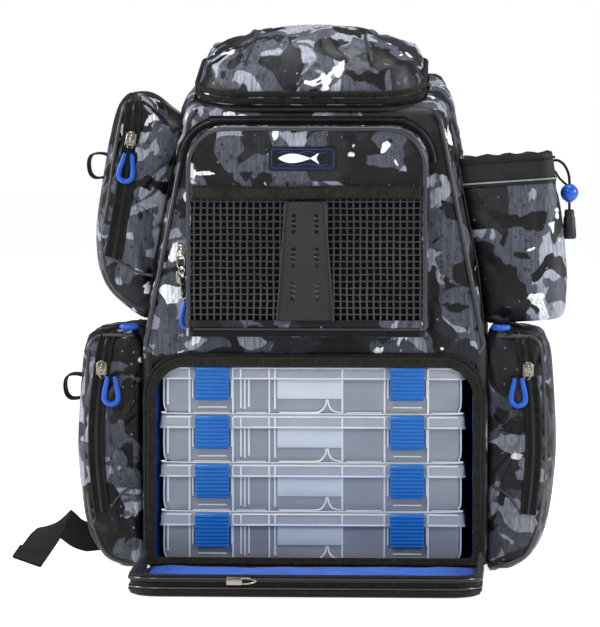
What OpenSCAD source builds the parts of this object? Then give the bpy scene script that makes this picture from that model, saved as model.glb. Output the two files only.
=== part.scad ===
// Tackle backpack: padded shell, tackle bay with four stowaway boxes, drop-down bay door,
// hinged front flap, domed top lid, side pouches and harness. Millimetres, +Z up,
// origin at the centre of the underside of the base. The front faces -Y.

/* [Body] */
// Width of the body over the tackle bay
body_w = 314; // [300:1:400]
// Width of the body under the lid
top_w = 224; // [200:1:280]
// Depth from the front wall to the back wall
body_d = 194; // [190:1:260]
// Height of the shoulder of the body, below the lid
body_h = 432; // [410:1:520]
// Height at which the sides begin to lean inwards
lean_z = 200; // [196:1:230]
// Thickness of the padded wall
wall = 4; // [3:0.5:8]
// Thickness of the moulded base
base_t = 4; // [3:0.5:6]

/* [Tackle boxes] */
// Width of one box
box_w = 279; // [230:1:290]
// Depth of one box
box_d = 184; // [150:1:186]
// Height of one box
box_h = 44.2; // [38:0.2:44.2]
// Number of boxes in the stack
box_count = 4; // [4]
// Air between a box and the next one
box_gap = 0.4; // [0.3:0.1:1]
// Wall of a box
box_wall = 1.8; // [1.2:0.1:2.4]
// Width of a latch
latch_w = 32.6; // [24:0.2:36]
// Height of a latch
latch_h = 31; // [28:0.5:33]
// Radius of a latch pin
latch_pin_r = 1.6; // [1.2:0.1:1.8]

/* [Door] */
// Width of the bay door
door_w = 308; // [300:1:312]
// Height of the rim of the door, which is the depth of the door's tray
door_rim_h = 20; // [18:0.5:24]
// Radius of the far corners of the door
door_r = 26; // [14:1:34]

/* [Front flap] */
// Width of the flap
flap_w = 220; // [180:1:226]
// Height of the flap's lower edge
flap_z0 = 217; // [214:1:225]
// Height of the flap's upper edge
flap_z1 = 405; // [380:1:408]
// Depth of the flap
flap_d = 24; // [20:1:25]
// Radius of the flap's upper corners
flap_r = 34; // [26:1:60]
// Sideways shift of the flap and the lid from the middle
top_shift = -6; // [-8:1:4]

/* [Lid] */
// Width of the lid
lid_w = 208; // [180:1:212]
// Length of the lid along its sloping seam
lid_l = 158; // [140:1:160]
// Slope of the lid's seam, in degrees
lid_slope = 15; // [8:1:18]

/* [Pouches] */
// How far a lower pouch stands out from the body
pouch_low_w = 54; // [40:1:60]
// Height of a lower pouch
pouch_low_h = 216; // [180:1:225]
// Depth of a lower pouch, front to back
pouch_low_d = 150; // [110:1:170]
// How far the upper pouch stands out at its widest
pouch_up_w = 58; // [44:1:64]
// Depth of the upper pouch, front to back
pouch_up_d = 116; // [90:1:130]
// Depth of the drawstring pouch, front to back
bottle_d = 60; // [50:1:80]
// Wall of a pouch
pouch_wall = 2.4; // [1.8:0.2:3]

/* [Harness] */
// Width of a shoulder strap
strap_w = 68; // [55:1:80]
// Thickness of a shoulder strap
strap_t = 13; // [10:1:16]
// Thickness of the back pad
pad_t = 14; // [10:1:18]
// Width of the waist webbing
web_w = 28; // [22:1:34]
// Thickness of webbing
web_t = 1.8; // [1.4:0.1:2.4]

/* [Zips] */
// Width of a zip chain
chain_w = 5; // [4:0.5:6]
// How far a zip chain stands up from the cloth
chain_t = 2.4; // [2:0.1:3]
// Air between a slider and its chain
slider_gap = 0.4; // [0.3:0.05:0.6]

/* [Hidden] */

$fn = 48;
camo = "#5a5c6a";
webbing_black = "#1d1d1c";
lining_blue = "#1c4fb0";
grip_blue = "#2f7fd6";
clear_blue = "#a9b6cc";
gunmetal = "#6d6a64";

seam = 0.2;              // air between sewn pieces of one body
move_gap = 0.4;          // air between pieces that move past each other
front_y = -104;
back_y = front_y + body_d;
half_low = body_w / 2;
half_top = top_w / 2;
lean = (half_low - half_top) / (body_h - lean_z);

floor_t = 2;
lining_t = 1.2;
shell_z0 = base_t + seam;
bay_z0 = shell_z0 + floor_t;
box_z0 = bay_z0 + seam + lining_t + move_gap;
box_pitch = box_h + box_gap;
box_y0 = front_y + wall;
side_play = 6.2;
bay_half = box_w / 2 + side_play + lining_t + seam;
bay_z1 = box_z0 + box_count * box_pitch + seam + lining_t + move_gap;
bay_y1 = box_y0 + box_d + move_gap + lining_t + seam;
shelf_t = 6;
room_z0 = bay_z1 + shelf_t;
room_z1 = body_h - 5;

flap_x0 = top_shift - flap_w / 2;
flap_x1 = top_shift + flap_w / 2;
flap_frame = 9;          // how far the hole behind the flap lies inside the flap's edge
flap_sill_t = 3;
flap_y1 = front_y - move_gap;
flap_y0 = front_y - flap_d;

lid_x0 = top_shift - lid_w / 2;
lid_seam_y = front_y + 8;
lid_seam_z = body_h + 7;
lid_wall = 3;
lid_rim_h = 14;
lid_r = 38;

hinge_r = 3.4;           // air that the door's hinge edge turns in
door_z1 = bay_z1 + 3;
door_skin = 6;
binding_t = 3.5;
door_hinge_z = door_skin / 2;
door_hinge_y = front_y - binding_t - move_gap - (door_rim_h - door_hinge_z);
door_y1 = door_hinge_y - 1.5;
door_y0 = door_hinge_y - (door_z1 - door_hinge_z);
door_rim_t = 5;

function arc(cx, cy, r, a0, a1, n) =
    [for (i = [0:n]) [cx + r * cos(a0 + (a1 - a0) * i / n), cy + r * sin(a0 + (a1 - a0) * i / n)]];
// A box with rounded lower corners (rb) and rounded upper corners (rt).
function arch(x0, x1, z0, z1, rt, rb) = concat(
    arc(x1 - rb, z0 + rb, rb, -90, 0, 6), arc(x1 - rt, z1 - rt, rt, 0, 90, 10),
    arc(x0 + rt, z1 - rt, rt, 90, 180, 10), arc(x0 + rb, z0 + rb, rb, 180, 270, 6));
// Half width of the body at a height.
function half_at(z) = half_low - max(0, z - lean_z) * lean;
function body_outline(inset, z0, z1) = let (zs = z0 < lean_z ? [z0, lean_z, z1] : [z0, z1])
    concat([for (z = zs) [half_at(z) - inset, z]],
        [for (k = [len(zs) - 1:-1:0]) [inset - half_at(zs[k]), zs[k]]]);

module xz(y0, y1) translate([0, y1, 0]) rotate([90, 0, 0]) linear_extrude(y1 - y0) children();
module yz(x0, x1) translate([x0, 0, 0]) rotate([90, 0, 90]) linear_extrude(x1 - x0) children();
module block(lo, hi) translate(lo) cube(hi - lo);
// The frame of the lid: its seam is the local plane z = 0, with the front edge at y = 0.
module lid_frame() translate([0, lid_seam_y, lid_seam_z]) rotate([lid_slope, 0, 0]) children();
module lid_plan(inset) polygon(arch(lid_x0 + inset, lid_x0 + lid_w - inset, inset, lid_l - inset,
    8, lid_r - inset));

// ---- Shell -------------------------------------------------------------------------------
module flap_hole() polygon(arch(flap_x0 + flap_frame, flap_x1 - flap_frame, flap_z0 + flap_frame,
    flap_z1 - flap_frame, flap_r - flap_frame, 14));

module collar() difference() {
    lid_frame() translate([0, 0, -45]) linear_extrude(45 - move_gap) lid_plan(0);
    block([-half_low, front_y - 60, 0], [half_low, back_y + 60, body_h - 6]);
}

module main_shell() color(camo) difference() {
    union() {
        xz(front_y, back_y) polygon(body_outline(0, shell_z0, body_h));
        collar();
        block([flap_x0, flap_y0 + 1, flap_z0], [flap_x1, front_y + 1, flap_z0 + flap_sill_t]);
    }
    block([-bay_half, front_y - 1, bay_z0], [bay_half, bay_y1, bay_z1]);
    xz(front_y + wall, back_y - wall) polygon(body_outline(wall, room_z0, room_z1));
    xz(front_y - 1, front_y + wall + 1) flap_hole();
    intersection() {
        lid_frame() translate([0, 0, -45]) linear_extrude(60) lid_plan(lid_wall + 2);
        block([-half_low, front_y, body_h], [half_low, back_y + 60, body_h + 90]);
    }
}

module bay_lining() color(lining_blue) difference() {
    block([-bay_half + seam, front_y, bay_z0 + seam], [bay_half - seam, bay_y1 - seam, bay_z1 - seam]);
    block([-bay_half + seam + lining_t, front_y - 1, bay_z0 + seam + lining_t],
        [bay_half - seam - lining_t, bay_y1 - seam - lining_t, bay_z1 - seam - lining_t]);
}

module base_panel() color(webbing_black)
    block([-half_low + 8, door_hinge_y + hinge_r + 0.3, 0], [half_low - 8, back_y, base_t]);

module stiffener_boards() color("gray") {
    xz(back_y - wall - seam - 2.5, back_y - wall - seam)
        polygon(body_outline(wall + 6, room_z0 + 8, room_z1 - 6));
    block([-half_low + wall + 6, front_y + wall + 6, room_z0 + seam],
        [half_low - wall - 6, back_y - wall - 8, room_z0 + 3]);
}

module opening_binding() color(webbing_black) xz(front_y - binding_t, front_y - seam) difference() {
    polygon(arch(-half_low + 3, half_low - 3, base_t + 0.3, bay_z1 + 8, 24, 4));
    polygon(arch(-bay_half + 1.6, bay_half - 1.6, bay_z0 + 1, bay_z1 - 0.6, 7, 2));
}

// ---- Zips --------------------------------------------------------------------------------
flap_zip_x = flap_x0 - 2 - chain_w / 2;
module ring(outer, inner) difference() { polygon(outer); polygon(inner); }
module flap_chain() xz(front_y - chain_t, front_y - seam) intersection() {
    ring(arch(flap_x0 - 2 - chain_w, flap_x1 + 2 + chain_w, flap_z0 - 40, flap_z1 + 2 + chain_w,
            flap_r + 2 + chain_w, 14),
        arch(flap_x0 - 2, flap_x1 + 2, flap_z0 - 41, flap_z1 + 2, flap_r + 2, 14));
    translate([-half_low, flap_z0 + 12]) square([body_w, body_h]);
}

pouch_y0 = front_y + 6;
low_zip_x = half_low + pouch_low_w - 17;
low_zip_z0 = 62;
low_z1 = pouch_low_h;
low_top_drop = 8;
module side_chain(side) {
    xz(pouch_y0 - chain_t, pouch_y0 - seam) translate([side * low_zip_x - chain_w / 2, low_zip_z0])
        square([chain_w, low_z1 - low_zip_z0 - low_top_drop - 12]);
    block([side * low_top_x - chain_w / 2, pouch_y0 + 14, low_z1 + seam],
        [side * low_top_x + chain_w / 2, pouch_y0 + pouch_low_d - 14, low_z1 + chain_t]);
}
low_top_x = half_low + 14;

up_y0 = front_y + 20;
up_zip_top = [-half_low - 9, 404];
up_low_z = low_z1 + 14;  // the upper pouch starts this high, clear of the lower one
up_mid_z = up_low_z + 70;
up_zip_low = [-half_low - 24, up_mid_z];
up_tilt = atan((up_zip_top[0] - up_zip_low[0]) / (up_zip_top[1] - up_zip_low[1]));
up_run = norm(up_zip_top - up_zip_low);
module upper_frame() translate([up_zip_low[0], up_y0, up_zip_low[1]]) rotate([0, up_tilt, 0]) children();
module upper_chain() upper_frame() block([-chain_w / 2, -chain_t, 0], [chain_w / 2, -seam, up_run]);

lid_chain_w = -3;        // middle of the lid's chain, below the seam
module lid_chain() lid_frame() translate([0, 0, lid_chain_w - chain_w / 2]) linear_extrude(chain_w)
    difference() { lid_plan(-chain_t); lid_plan(-seam); }

module zip_chains() color(webbing_black) {
    flap_chain();
    side_chain(1);
    side_chain(-1);
    upper_chain();
    difference() {
        lid_chain();
        block([-half_low, lid_seam_y + 140, 0], [half_low, back_y + 90, 600]);
    }
}

// A slider on a chain that runs along local z, on cloth at local y = 0, facing -y,
// with its pull hanging along drop and shifted sideways by aside.
slider_l = 15;
slider_skin = 1.6;
slider_w = chain_w + 2 * (slider_gap + slider_skin);
slider_y = -chain_t - slider_gap;
pull_t = 2.2;
module slider_body() difference() {
    block([-slider_w / 2, slider_y - slider_skin - 0.8, -slider_l / 2], [slider_w / 2, -0.5, slider_l / 2]);
    block([-chain_w / 2 - slider_gap, slider_y, -slider_l], [chain_w / 2 + slider_gap, 0, slider_l]);
}
pull_fn = 20;
module dot(x, z, r) translate([x, z]) circle(r = r, $fn = pull_fn);
module pull_shape(aside, drop) {
    difference() {
        hull() { dot(0, 0, 3); dot(aside, 20 - drop, 3); }
        dot(0, 0, 1.2);
    }
    difference() {
        hull() for (z = [20, 5]) dot(aside, z - drop, 6);
        hull() for (z = [17, 7]) dot(aside, z - drop, 2.6);
    }
}
module pull(aside, drop, front, turn) translate([0, slider_y - slider_skin - front, 0])
    rotate([0, turn, 0]) xz(-pull_t, 0) pull_shape(aside, drop);
// The bail joins the slider's body to its pull.
module bail(front) block([-1, slider_y - slider_skin - front - pull_t, -1], [1, slider_y - slider_skin, 1]);
module slider(aside, drop, front, turn = 0) color(gunmetal) {
    slider_body();
    difference() { bail(front + 0.1); block([-2, slider_y - slider_skin - 0.8, -2], [2, 0, 2]); }
    pull(aside, drop, front + 0.8, turn);
}

upper_rest_z = 290;
lower_rest_z = 268;
module flap_slider_upper() union() translate([flap_zip_x, front_y, upper_rest_z]) slider(-7, 70, 3.4);
module flap_slider_lower() union() translate([flap_zip_x, front_y, lower_rest_z]) slider(-18, 44, 0);
low_slider_z = low_z1 - low_top_drop - 24;
module left_slider_front() union() translate([-low_zip_x, pouch_y0, low_slider_z]) slider(-9, 34, 0);
module right_slider_front() union() translate([low_zip_x, pouch_y0, low_slider_z]) slider(9, 34, 0);
module top_slider(side) translate([side * low_top_x, pouch_y0 + 26, low_z1]) rotate([-90, 0, 0])
    slider(side * 2, 34, 0);
module left_slider_top() union() top_slider(-1);
module right_slider_top() union() top_slider(1);
module upper_slider() union() upper_frame() translate([0, 0, up_run - 12]) slider(0, 40, 0);
module lid_slider() union() lid_frame() translate([lid_x0 + lid_w, 86, lid_chain_w]) rotate([0, 0, 90])
    rotate([0, 90, 0]) slider(0, 40, 18, -90);

// ---- Back and harness --------------------------------------------------------------------
module back_pad() color(webbing_black) {
    for (x = [-1, 1]) block([x * 52 - 44, back_y + seam, 120], [x * 52 + 44, back_y + pad_t, 400]);
    block([-100, back_y + seam, 24], [100, back_y + pad_t, 108]);
}

strap_x = 72;
strap_z0 = 118;
strap_z1 = 418;
strap_swell = 34;
// Middle line of a shoulder strap, side on: it leaves the shell high up and swings out behind.
function strap_mid(t) = [back_y + pad_t + strap_t / 2 + 1 + strap_swell * pow(sin(180 * t), 0.8),
    strap_z0 + (strap_z1 - strap_z0) * t];
strap_steps = 16;
module shoulder_strap(side) color(webbing_black)
    yz(side * strap_x - strap_w / 2, side * strap_x + strap_w / 2)
    polygon(concat([for (i = [0:strap_steps]) strap_mid(i / strap_steps) + [-strap_t / 2, 0]],
        [for (i = [strap_steps:-1:0]) strap_mid(i / strap_steps) + [strap_t / 2, 0]]));

strap_end_y = back_y + pad_t + 1;
strap_web_half = 13;     // half width of the webbing at the ends of a shoulder strap
ladder_y = strap_end_y + 4.4;
// A block centred on a shoulder strap, half as wide as asked on each side.
module strap_block(side, half, y0, y1, z0, z1)
    block([side * strap_x - half, y0, z0], [side * strap_x + half, y1, z1]);
module strap_webbing() color(webbing_black) for (side = [-1, 1]) {
    strap_block(side, strap_web_half, strap_end_y + 2, strap_end_y + 2 + web_t, 86, strap_z0 - 1);
    difference() {
        strap_block(side, 17, ladder_y, ladder_y + 4.6, 86, 112);
        for (z = [92, 102]) strap_block(side, strap_web_half + 0.5, ladder_y - 1, ladder_y + 6, z, z + 4);
    }
    strap_block(side, strap_web_half, back_y + seam, strap_end_y + strap_t, strap_z1 + 2, strap_z1 + 4);
}

sternum_z = 330;
sternum_y = back_y + pad_t + 1 + strap_swell * 0.75;
sternum_half = strap_x - strap_w / 2 - seam;
module sternum_strap() color(webbing_black) difference() {
    union() {
        block([-sternum_half, sternum_y, sternum_z], [sternum_half, sternum_y + web_t, sternum_z + 20]);
        block([-22, sternum_y - 3, sternum_z - 3], [22, sternum_y + 6, sternum_z + 23]);
    }
    block([-12, sternum_y + 4, sternum_z + 4], [12, sternum_y + 7, sternum_z + 16]);
}

handle_z0 = body_h - 22;
handle_z1 = body_h + 36;
handle_y = back_y + 5;
handle_half = 46;
module handle_outline(inset) polygon(arch(-handle_half + inset, handle_half - inset, handle_z0 - inset,
    handle_z1 - inset, 20 - inset, 2));
module carry_handle() color(webbing_black) xz(handle_y - 12, handle_y + 12) intersection() {
    difference() { handle_outline(0); handle_outline(5); }
    translate([-60, body_h + seam]) square([120, 60]);
}

// ---- Swept webbing and cord --------------------------------------------------------------
function unit(v) = v / norm(v);
function along(p, i) = unit(p[min(i + 1, len(p) - 1)] - p[max(i - 1, 0)]);
// A closed tube: rings of section points carried along the path, square to side.
module sweep(path, sides, section) {
    n = len(section);
    m = len(path);
    rings = [for (i = [0:m - 1])
        let (t = along(path, i), s = unit(sides[i] - t * (sides[i] * t)), u = cross(t, s))
        for (q = section) path[i] + s * q[0] + u * q[1]];
    walls = [for (i = [0:m - 2], k = [0:n - 1], half = [0, 1])
        let (a = i * n + k, b = i * n + (k + 1) % n) half == 0 ? [a, b, b + n] : [a, b + n, a + n]];
    caps = [[for (k = [n - 1:-1:0]) k], [for (k = [0:n - 1]) (m - 1) * n + k]];
    polyhedron(rings, concat(walls, caps), convexity = 6);
}
function flat_section(w, t) = [[w / 2, t / 2], [w / 2, -t / 2], [-w / 2, -t / 2], [-w / 2, t / 2]];
function round_section(r, n) = [for (k = [0:n - 1]) [r * cos(-360 * k / n), r * sin(-360 * k / n)]];

belt_y = back_y + pad_t + 3;
tail_path = [for (p = [[24, 112, 62], [7, 107, 46], [-13, 98, 30], [-31, 88, 18], [-48, 75, 12], [-62, 58, 12],
    [-72, 38, 18], [-79, 18, 27], [-84, 0, 33], [-88, -18, 32], [-93, -36, 26], [-99, -54, 17],
    [-105, -70, 8], [-109, -82, 3]]) [p[0] - half_low, p[1], p[2]]];
tail_sides = concat([[0, 0.1, 1], [0, 0.2, 1], [0.1, 0.3, 1], [0.2, 0.5, 1], [0.3, 0.7, 0.8],
    [0.4, 0.7, 0.6], [0.6, 0.7, 0.4], [0.8, 0.5, 0.2], [0.9, 0.4, 0.1]], [for (k = [1:5]) [0.9, 0.4, 0]]);
belt_wing_x = [44, half_low - 29];
belt_wing_z = [28, 84];
module belt_wing(side) yz(min(side * belt_wing_x), max(side * belt_wing_x))
    translate([belt_y, belt_wing_z[0]]) square([10, belt_wing_z[1] - belt_wing_z[0]]);
module waist_belt_left() color(webbing_black) {
    belt_wing(-1);
    sweep(tail_path, tail_sides, flat_section(web_w, web_t));
}
buckle_z = 68;
module waist_belt_right() color(webbing_black) {
    belt_wing(1);
    difference() {
        block([belt_wing_x[1] + seam, belt_y + 2, buckle_z - web_w / 2 - 6],
            [belt_wing_x[1] + 22, belt_y + 10, buckle_z + web_w / 2 + 6]);
        block([belt_wing_x[1] + 6, belt_y + 1, buckle_z - web_w / 2],
            [belt_wing_x[1] + 16, belt_y + 11, buckle_z + web_w / 2]);
    }
}

// ---- Side pouches ------------------------------------------------------------------------
module soft(r) offset(r = r, $fn = 24) offset(delta = -r) children();
module low_outline(side) soft(9) polygon([for (p = [[0.4, 1.5], [10, 1.5], [34, 12], [pouch_low_w - 6, 46],
    [pouch_low_w, 108], [pouch_low_w - 3, low_z1 - 20], [pouch_low_w - 9, low_z1], [0.4, low_z1]])
    [side * (half_low + p[0]), p[1]]]);
module low_pouch(side) color(camo) difference() {
    xz(pouch_y0, pouch_y0 + pouch_low_d) low_outline(side);
    xz(pouch_y0 + pouch_wall, pouch_y0 + pouch_low_d - pouch_wall)
        offset(delta = -pouch_wall) low_outline(side);
}

up_shoulder = [-half_low - 27, 390];
up_belly = [-half_low - pouch_up_w + 17, up_mid_z];
module up_outline() soft(7) polygon([[-half_at(402) - seam, 402], [-half_low + 4, 430],
    [-half_low - 16, 430], up_shoulder, up_belly, [up_belly[0] + 3, up_low_z + 32],
    [-half_low - 14, up_low_z + 8], [-half_at(up_low_z) - seam, up_low_z]]);
// Outer edge of the upper pouch at a height.
function up_edge(z) = let (share = (z - up_belly[1]) / (up_shoulder[1] - up_belly[1]))
    up_belly[0] + (up_shoulder[0] - up_belly[0]) * share;
module pouch_upper_left() color(camo) difference() {
    xz(up_y0, up_y0 + pouch_up_d) up_outline();
    xz(up_y0 + pouch_wall, up_y0 + pouch_up_d - pouch_wall) offset(delta = -pouch_wall) up_outline();
}

bottle_y0 = front_y + 32;
bottle_z0 = low_z1 + 10;
bottle_z1 = 374;
bottle_split = 348;
bottle_out = 98;
function bottle_outline(inset, z0, z1) = [[half_at(z0) + seam + inset, z0],
    [half_at(bottle_z0) + 76 - inset, z0 + 8], [half_at(bottle_z1) + bottle_out - 6 - inset, z1 + 6],
    [half_at(z1) + seam + inset, z1]];
module bottle() difference() {
    xz(bottle_y0, bottle_y0 + bottle_d) polygon(bottle_outline(0, bottle_z0, bottle_z1));
    xz(bottle_y0 + pouch_wall, bottle_y0 + bottle_d - pouch_wall)
        polygon(bottle_outline(pouch_wall, bottle_z0 + pouch_wall, bottle_z1 + 30));
}
module above(z) block([half_top - 40, bottle_y0 - 1, z], [half_low + 140, bottle_y0 + bottle_d + 1, z + 120]);
module drawstring_pouch() color(camo) difference() {
    bottle();
    above(bottle_split);
}
module drawstring_collar() color(webbing_black) intersection() {
    bottle();
    above(bottle_split + seam);
}

loop_z = 366;
module webbing_loops() color(webbing_black) {
    for (at = [[up_edge(loop_z - 7) - seam, loop_z], [-half_low - pouch_low_w - 0.4, 163]])
        translate([at[0], -62, at[1]]) difference() {
            block([-16, 0, -7], [0, 26, 7]);
            block([-14, -1, -5], [-2, 27, 5]);
        }
}

// ---- Drawcord ----------------------------------------------------------------------------
cord_d = 3;
cord_y = bottle_y0 + bottle_d / 2;
end_z0 = 300;
end_h = 26;
function bottle_edge(z) = let (low = half_at(bottle_z0) + 76, high = half_at(bottle_z1) + bottle_out - 6)
    low + (high - low) * (z - bottle_z0 - 8) / (bottle_z1 - bottle_z0 - 2);
cord_x = bottle_edge(end_z0) + 8.8;
cord_route = concat([[bottle_edge(371) + 2 * seam, cord_y, 371]],
    [for (p = [[-9, 370], [-5, 367], [-1, 361], [0, 355], [0, 349], [0, 343], [0, 337], [0, 331],
        [0, end_z0 + end_h]]) [cord_x + p[0], cord_y, p[1]]]);
lock_r = 8.5;
lock_bore_r = cord_d / 2 + 0.6;
lock_z = 342;
module drawcord() color(webbing_black) sweep(cord_route, [for (p = cord_route) [0, 1, 0]],
    round_section(cord_d / 2, 8));
module cord_lock() color(grip_blue) translate([cord_x, cord_y, lock_z]) difference() {
    sphere(r = lock_r);
    cylinder(r = lock_bore_r, h = 4 * lock_r, center = true);
}
module cord_end() color(webbing_black) translate([cord_x, cord_y, end_z0]) {
    cylinder(r1 = 6.6, r2 = 5, h = end_h);
}

// ---- Front flap --------------------------------------------------------------------------
flap_wall = 3;
mesh_z0 = flap_z0 + 9;
mesh_z1 = 340;
mesh_x = flap_w / 2 - 7;
band_h = 12;
module flap_solid(inset) {
    xz(flap_y0 + inset, flap_y1 + (inset > 0 ? 1 : 0))
        polygon(arch(flap_x0 + move_gap + inset, flap_x1 - move_gap - inset,
            flap_z0 + flap_sill_t + move_gap - (inset > 0 ? 5 : 0), flap_z1 - inset, flap_r - inset, 1));
}
module front_flap() color(camo) difference() {
    flap_solid(0);
    flap_solid(flap_wall);
    mesh_block(0, flap_y0 - 1, flap_y0 + 1.2, mesh_z0, mesh_z1);
}
module mesh_block(inset, y0, y1, z0, z1)
    block([top_shift - mesh_x + inset, y0, z0 + inset], [top_shift + mesh_x - inset, y1, z1 - inset]);
module flap_mesh() color(webbing_black) mesh_block(seam, flap_y0, flap_y0 + 1, mesh_z0, mesh_z1);
module mesh_band() color(webbing_black)
    mesh_block(0, flap_y0 - 1.8, flap_y0 - seam, mesh_z1 - 1, mesh_z1 - 1 + band_h);

sleeve_x = -7;
sleeve_top = mesh_z1 - 3;
sleeve_gap = 5;
module sleeve_outline(grow) polygon([[sleeve_x - 26 - grow, mesh_z0 + 3], [sleeve_x + 26 + grow, mesh_z0 + 3],
    [sleeve_x + 18 + grow, sleeve_top], [sleeve_x - 18 - grow, sleeve_top]]);
module tool_sleeve() color(webbing_black) difference() {
    xz(flap_y0 - sleeve_gap - 2.2, flap_y0 - seam) sleeve_outline(0);
    xz(flap_y0 - sleeve_gap - seam, flap_y0) intersection() {
        sleeve_outline(-3);
        translate([-60, mesh_z0 + 8]) square([120, 200]);
    }
    xz(flap_y0 - sleeve_gap, flap_y0) translate([sleeve_x - 17, mesh_z0 + 8]) square([34, 200]);
    for (row = [0:2], side = [-1, 1]) xz(flap_y0 - sleeve_gap - 4, flap_y0 - sleeve_gap + 1)
        translate([sleeve_x + side * 11 - 3, mesh_z0 + 22 + row * 30]) square([6, 18]);
}
module badge() color(webbing_black) xz(flap_y0 - 2, flap_y0 - seam)
    polygon(arch(-40, 21, 364.5, 386.5, 3, 3));

// ---- Door --------------------------------------------------------------------------------
// Far corners of the door are rounded; the hinge edge is square.
module door_plan(inset, near) polygon(concat([[door_w / 2 - inset, near]],
    [[-door_w / 2 + inset, near]],
    arc(-door_w / 2 + door_r, door_y0 + door_r, door_r - inset, 180, 270, 8),
    arc(door_w / 2 - door_r, door_y0 + door_r, door_r - inset, 270, 360, 8)));
module door_panel() color(webbing_black) linear_extrude(door_skin - 1.4) door_plan(0, door_y1);
module door_lining() color(lining_blue) translate([0, 0, door_skin - 1.4 + seam]) linear_extrude(1)
    door_plan(door_rim_t + 1.2, door_y1);
module door_rim() color(webbing_black) translate([0, 0, door_skin - 1.4 + seam])
    linear_extrude(door_rim_h - door_skin + 1.4 - seam) difference() {
        door_plan(1, door_y1 - 1);
        door_plan(door_rim_t + 1, door_y1 + 5);
    }
door_chain_z = 15;
module door_zip_chain() color(gunmetal) translate([0, 0, door_chain_z - 2]) linear_extrude(4) difference() {
    door_plan(-1.2, door_y1 - 8);
    door_plan(1 - seam, door_y1 + 5);
}
module door_slider() color(gunmetal) translate([-60, door_y0 - 1.2, door_chain_z]) {
    block([-7, -3, -4], [7, -0.4, 4]);
    block([6, -2.4, -2], [20, -1.2, 2]);
}

// ---- Lid ---------------------------------------------------------------------------------
// Side view of the lid above its seam: a low front wall, a long rise and a rounded back.
function lid_side(inset) = concat([[inset, inset > 0 ? -1 : 0], [inset, lid_rim_h]],
    [[24, 25 - inset], [56, 36 - inset], [96, 34 - inset], [128, 25 - inset]],
    [[lid_l - 10 - inset, lid_rim_h], [lid_l - 10 - inset, inset > 0 ? -1 : 0]]);
module lid_block(inset) intersection() {
    translate([0, 0, -2]) linear_extrude(70) lid_plan(inset);
    translate([0, 0, 0]) yz(-half_low, half_low) polygon(lid_side(inset));
}
module top_lid() color(camo) lid_frame() difference() {
    lid_block(0);
    lid_block(lid_wall);
}

// ---- Tackle boxes ------------------------------------------------------------------------
latch_x = [-91, 86.5];
lid_skirt = 12;
lid_top_t = 1.6;
tray_set_back = 4;
recess_d = 5.5;
pin_z = box_h - latch_h * 0.68;
pin_y = box_y0 + 1.2;
pin_clear = 0.05;
lip = 4;
function box_base(i) = box_z0 + (box_count - i) * box_pitch;
tray_y0 = box_y0 + tray_set_back;
tray_y1 = box_y0 + box_d - 3;
tray_half = box_w / 2 - lip;
tray_top = box_h - lid_top_t - seam;
ear_t = 2.4;             // an ear holds each end of a latch's pin
ear_x = latch_w / 2 + 1.7;
module tray_front() polygon(arch(-tray_half, tray_half, 0, tray_top, 1, 9));
module tray_room(x0, x1, y0, y1) block([x0, y0, box_wall], [x1, y1, box_h]);
cells = 4;
module tray_rooms() {
    inner = tray_half - box_wall;
    depth0 = tray_y0 + recess_d + 2 * box_wall;
    cell = 2 * inner / cells;
    for (i = [0:cells - 1], j = [0, 1]) {
        y_mid = (depth0 + tray_y1) / 2;
        tray_room(-inner + i * cell + box_wall / 2, -inner + (i + 1) * cell - box_wall / 2,
            (j == 0 ? depth0 : y_mid + box_wall / 2), (j == 0 ? y_mid - box_wall / 2 : tray_y1 - box_wall));
    }
}
module box_tray(i) color(clear_blue) translate([0, 0, box_base(i)]) {
    difference() {
        xz(tray_y0, tray_y1) tray_front();
        intersection() {
            tray_rooms();
            xz(tray_y0, tray_y1)
                polygon(arch(-tray_half + box_wall, tray_half - box_wall, box_wall, box_h + 8, 1, 8));
        }
        for (x = latch_x) block([x - latch_w / 2 - 3, tray_y0 - 1, 4],
            [x + latch_w / 2 + 3, tray_y0 + recess_d, pin_z + 9]);
    }
    for (x = latch_x, side = [-1, 1]) translate([x + side * ear_x, 0, 0]) yz(-ear_t / 2, ear_t / 2) hull() {
        translate([pin_y, pin_z]) circle(r = 3, $fn = 24);
        translate([tray_y0 + recess_d, pin_z - 4]) square([0.8, 8]);
    }
    for (x = latch_x) translate([x, pin_y, pin_z]) rotate([0, 90, 0])
        cylinder(r = latch_pin_r, h = latch_w + 4, center = true);
}
module box_lid(i) color(clear_blue) translate([0, 0, box_base(i)]) difference() {
    block([-box_w / 2, box_y0, box_h - lid_skirt], [box_w / 2, box_y0 + box_d, box_h]);
    block([-tray_half - seam, tray_y0 - seam, box_h - lid_skirt - 1],
        [tray_half + seam, tray_y1 + seam, box_h - lid_top_t]);
    for (x = latch_x) block([x - latch_w / 2 - 0.6, box_y0 - 1, box_h - lid_skirt - 1],
        [x + latch_w / 2 + 0.6, box_y0 + 2.6, box_h + 1]);
}
rib_pitch = 4.2;
module box_latch(i, x) color(grip_blue) translate([x, 0, box_base(i)]) difference() {
    union() {
        block([-latch_w / 2, box_y0 - 4.2, box_h - latch_h], [latch_w / 2, box_y0 - 1.4, box_h]);
        block([-latch_w / 2, box_y0 - 2, box_h - 3.4], [latch_w / 2, box_y0 + 1.6, box_h]);
        translate([0, pin_y, pin_z]) rotate([0, 90, 0]) cylinder(r = 3.2, h = latch_w, center = true);
    }
    translate([0, pin_y, pin_z]) rotate([0, 90, 0])
        cylinder(r = latch_pin_r + pin_clear, h = latch_w + 2, center = true);
    for (k = [0:4]) let (z = box_h - 6 - rib_pitch * k)
        block([-latch_w / 2 - 1, box_y0 - 5, z], [latch_w / 2 + 1, box_y0 - 3.7, z + 2]);
}

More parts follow.
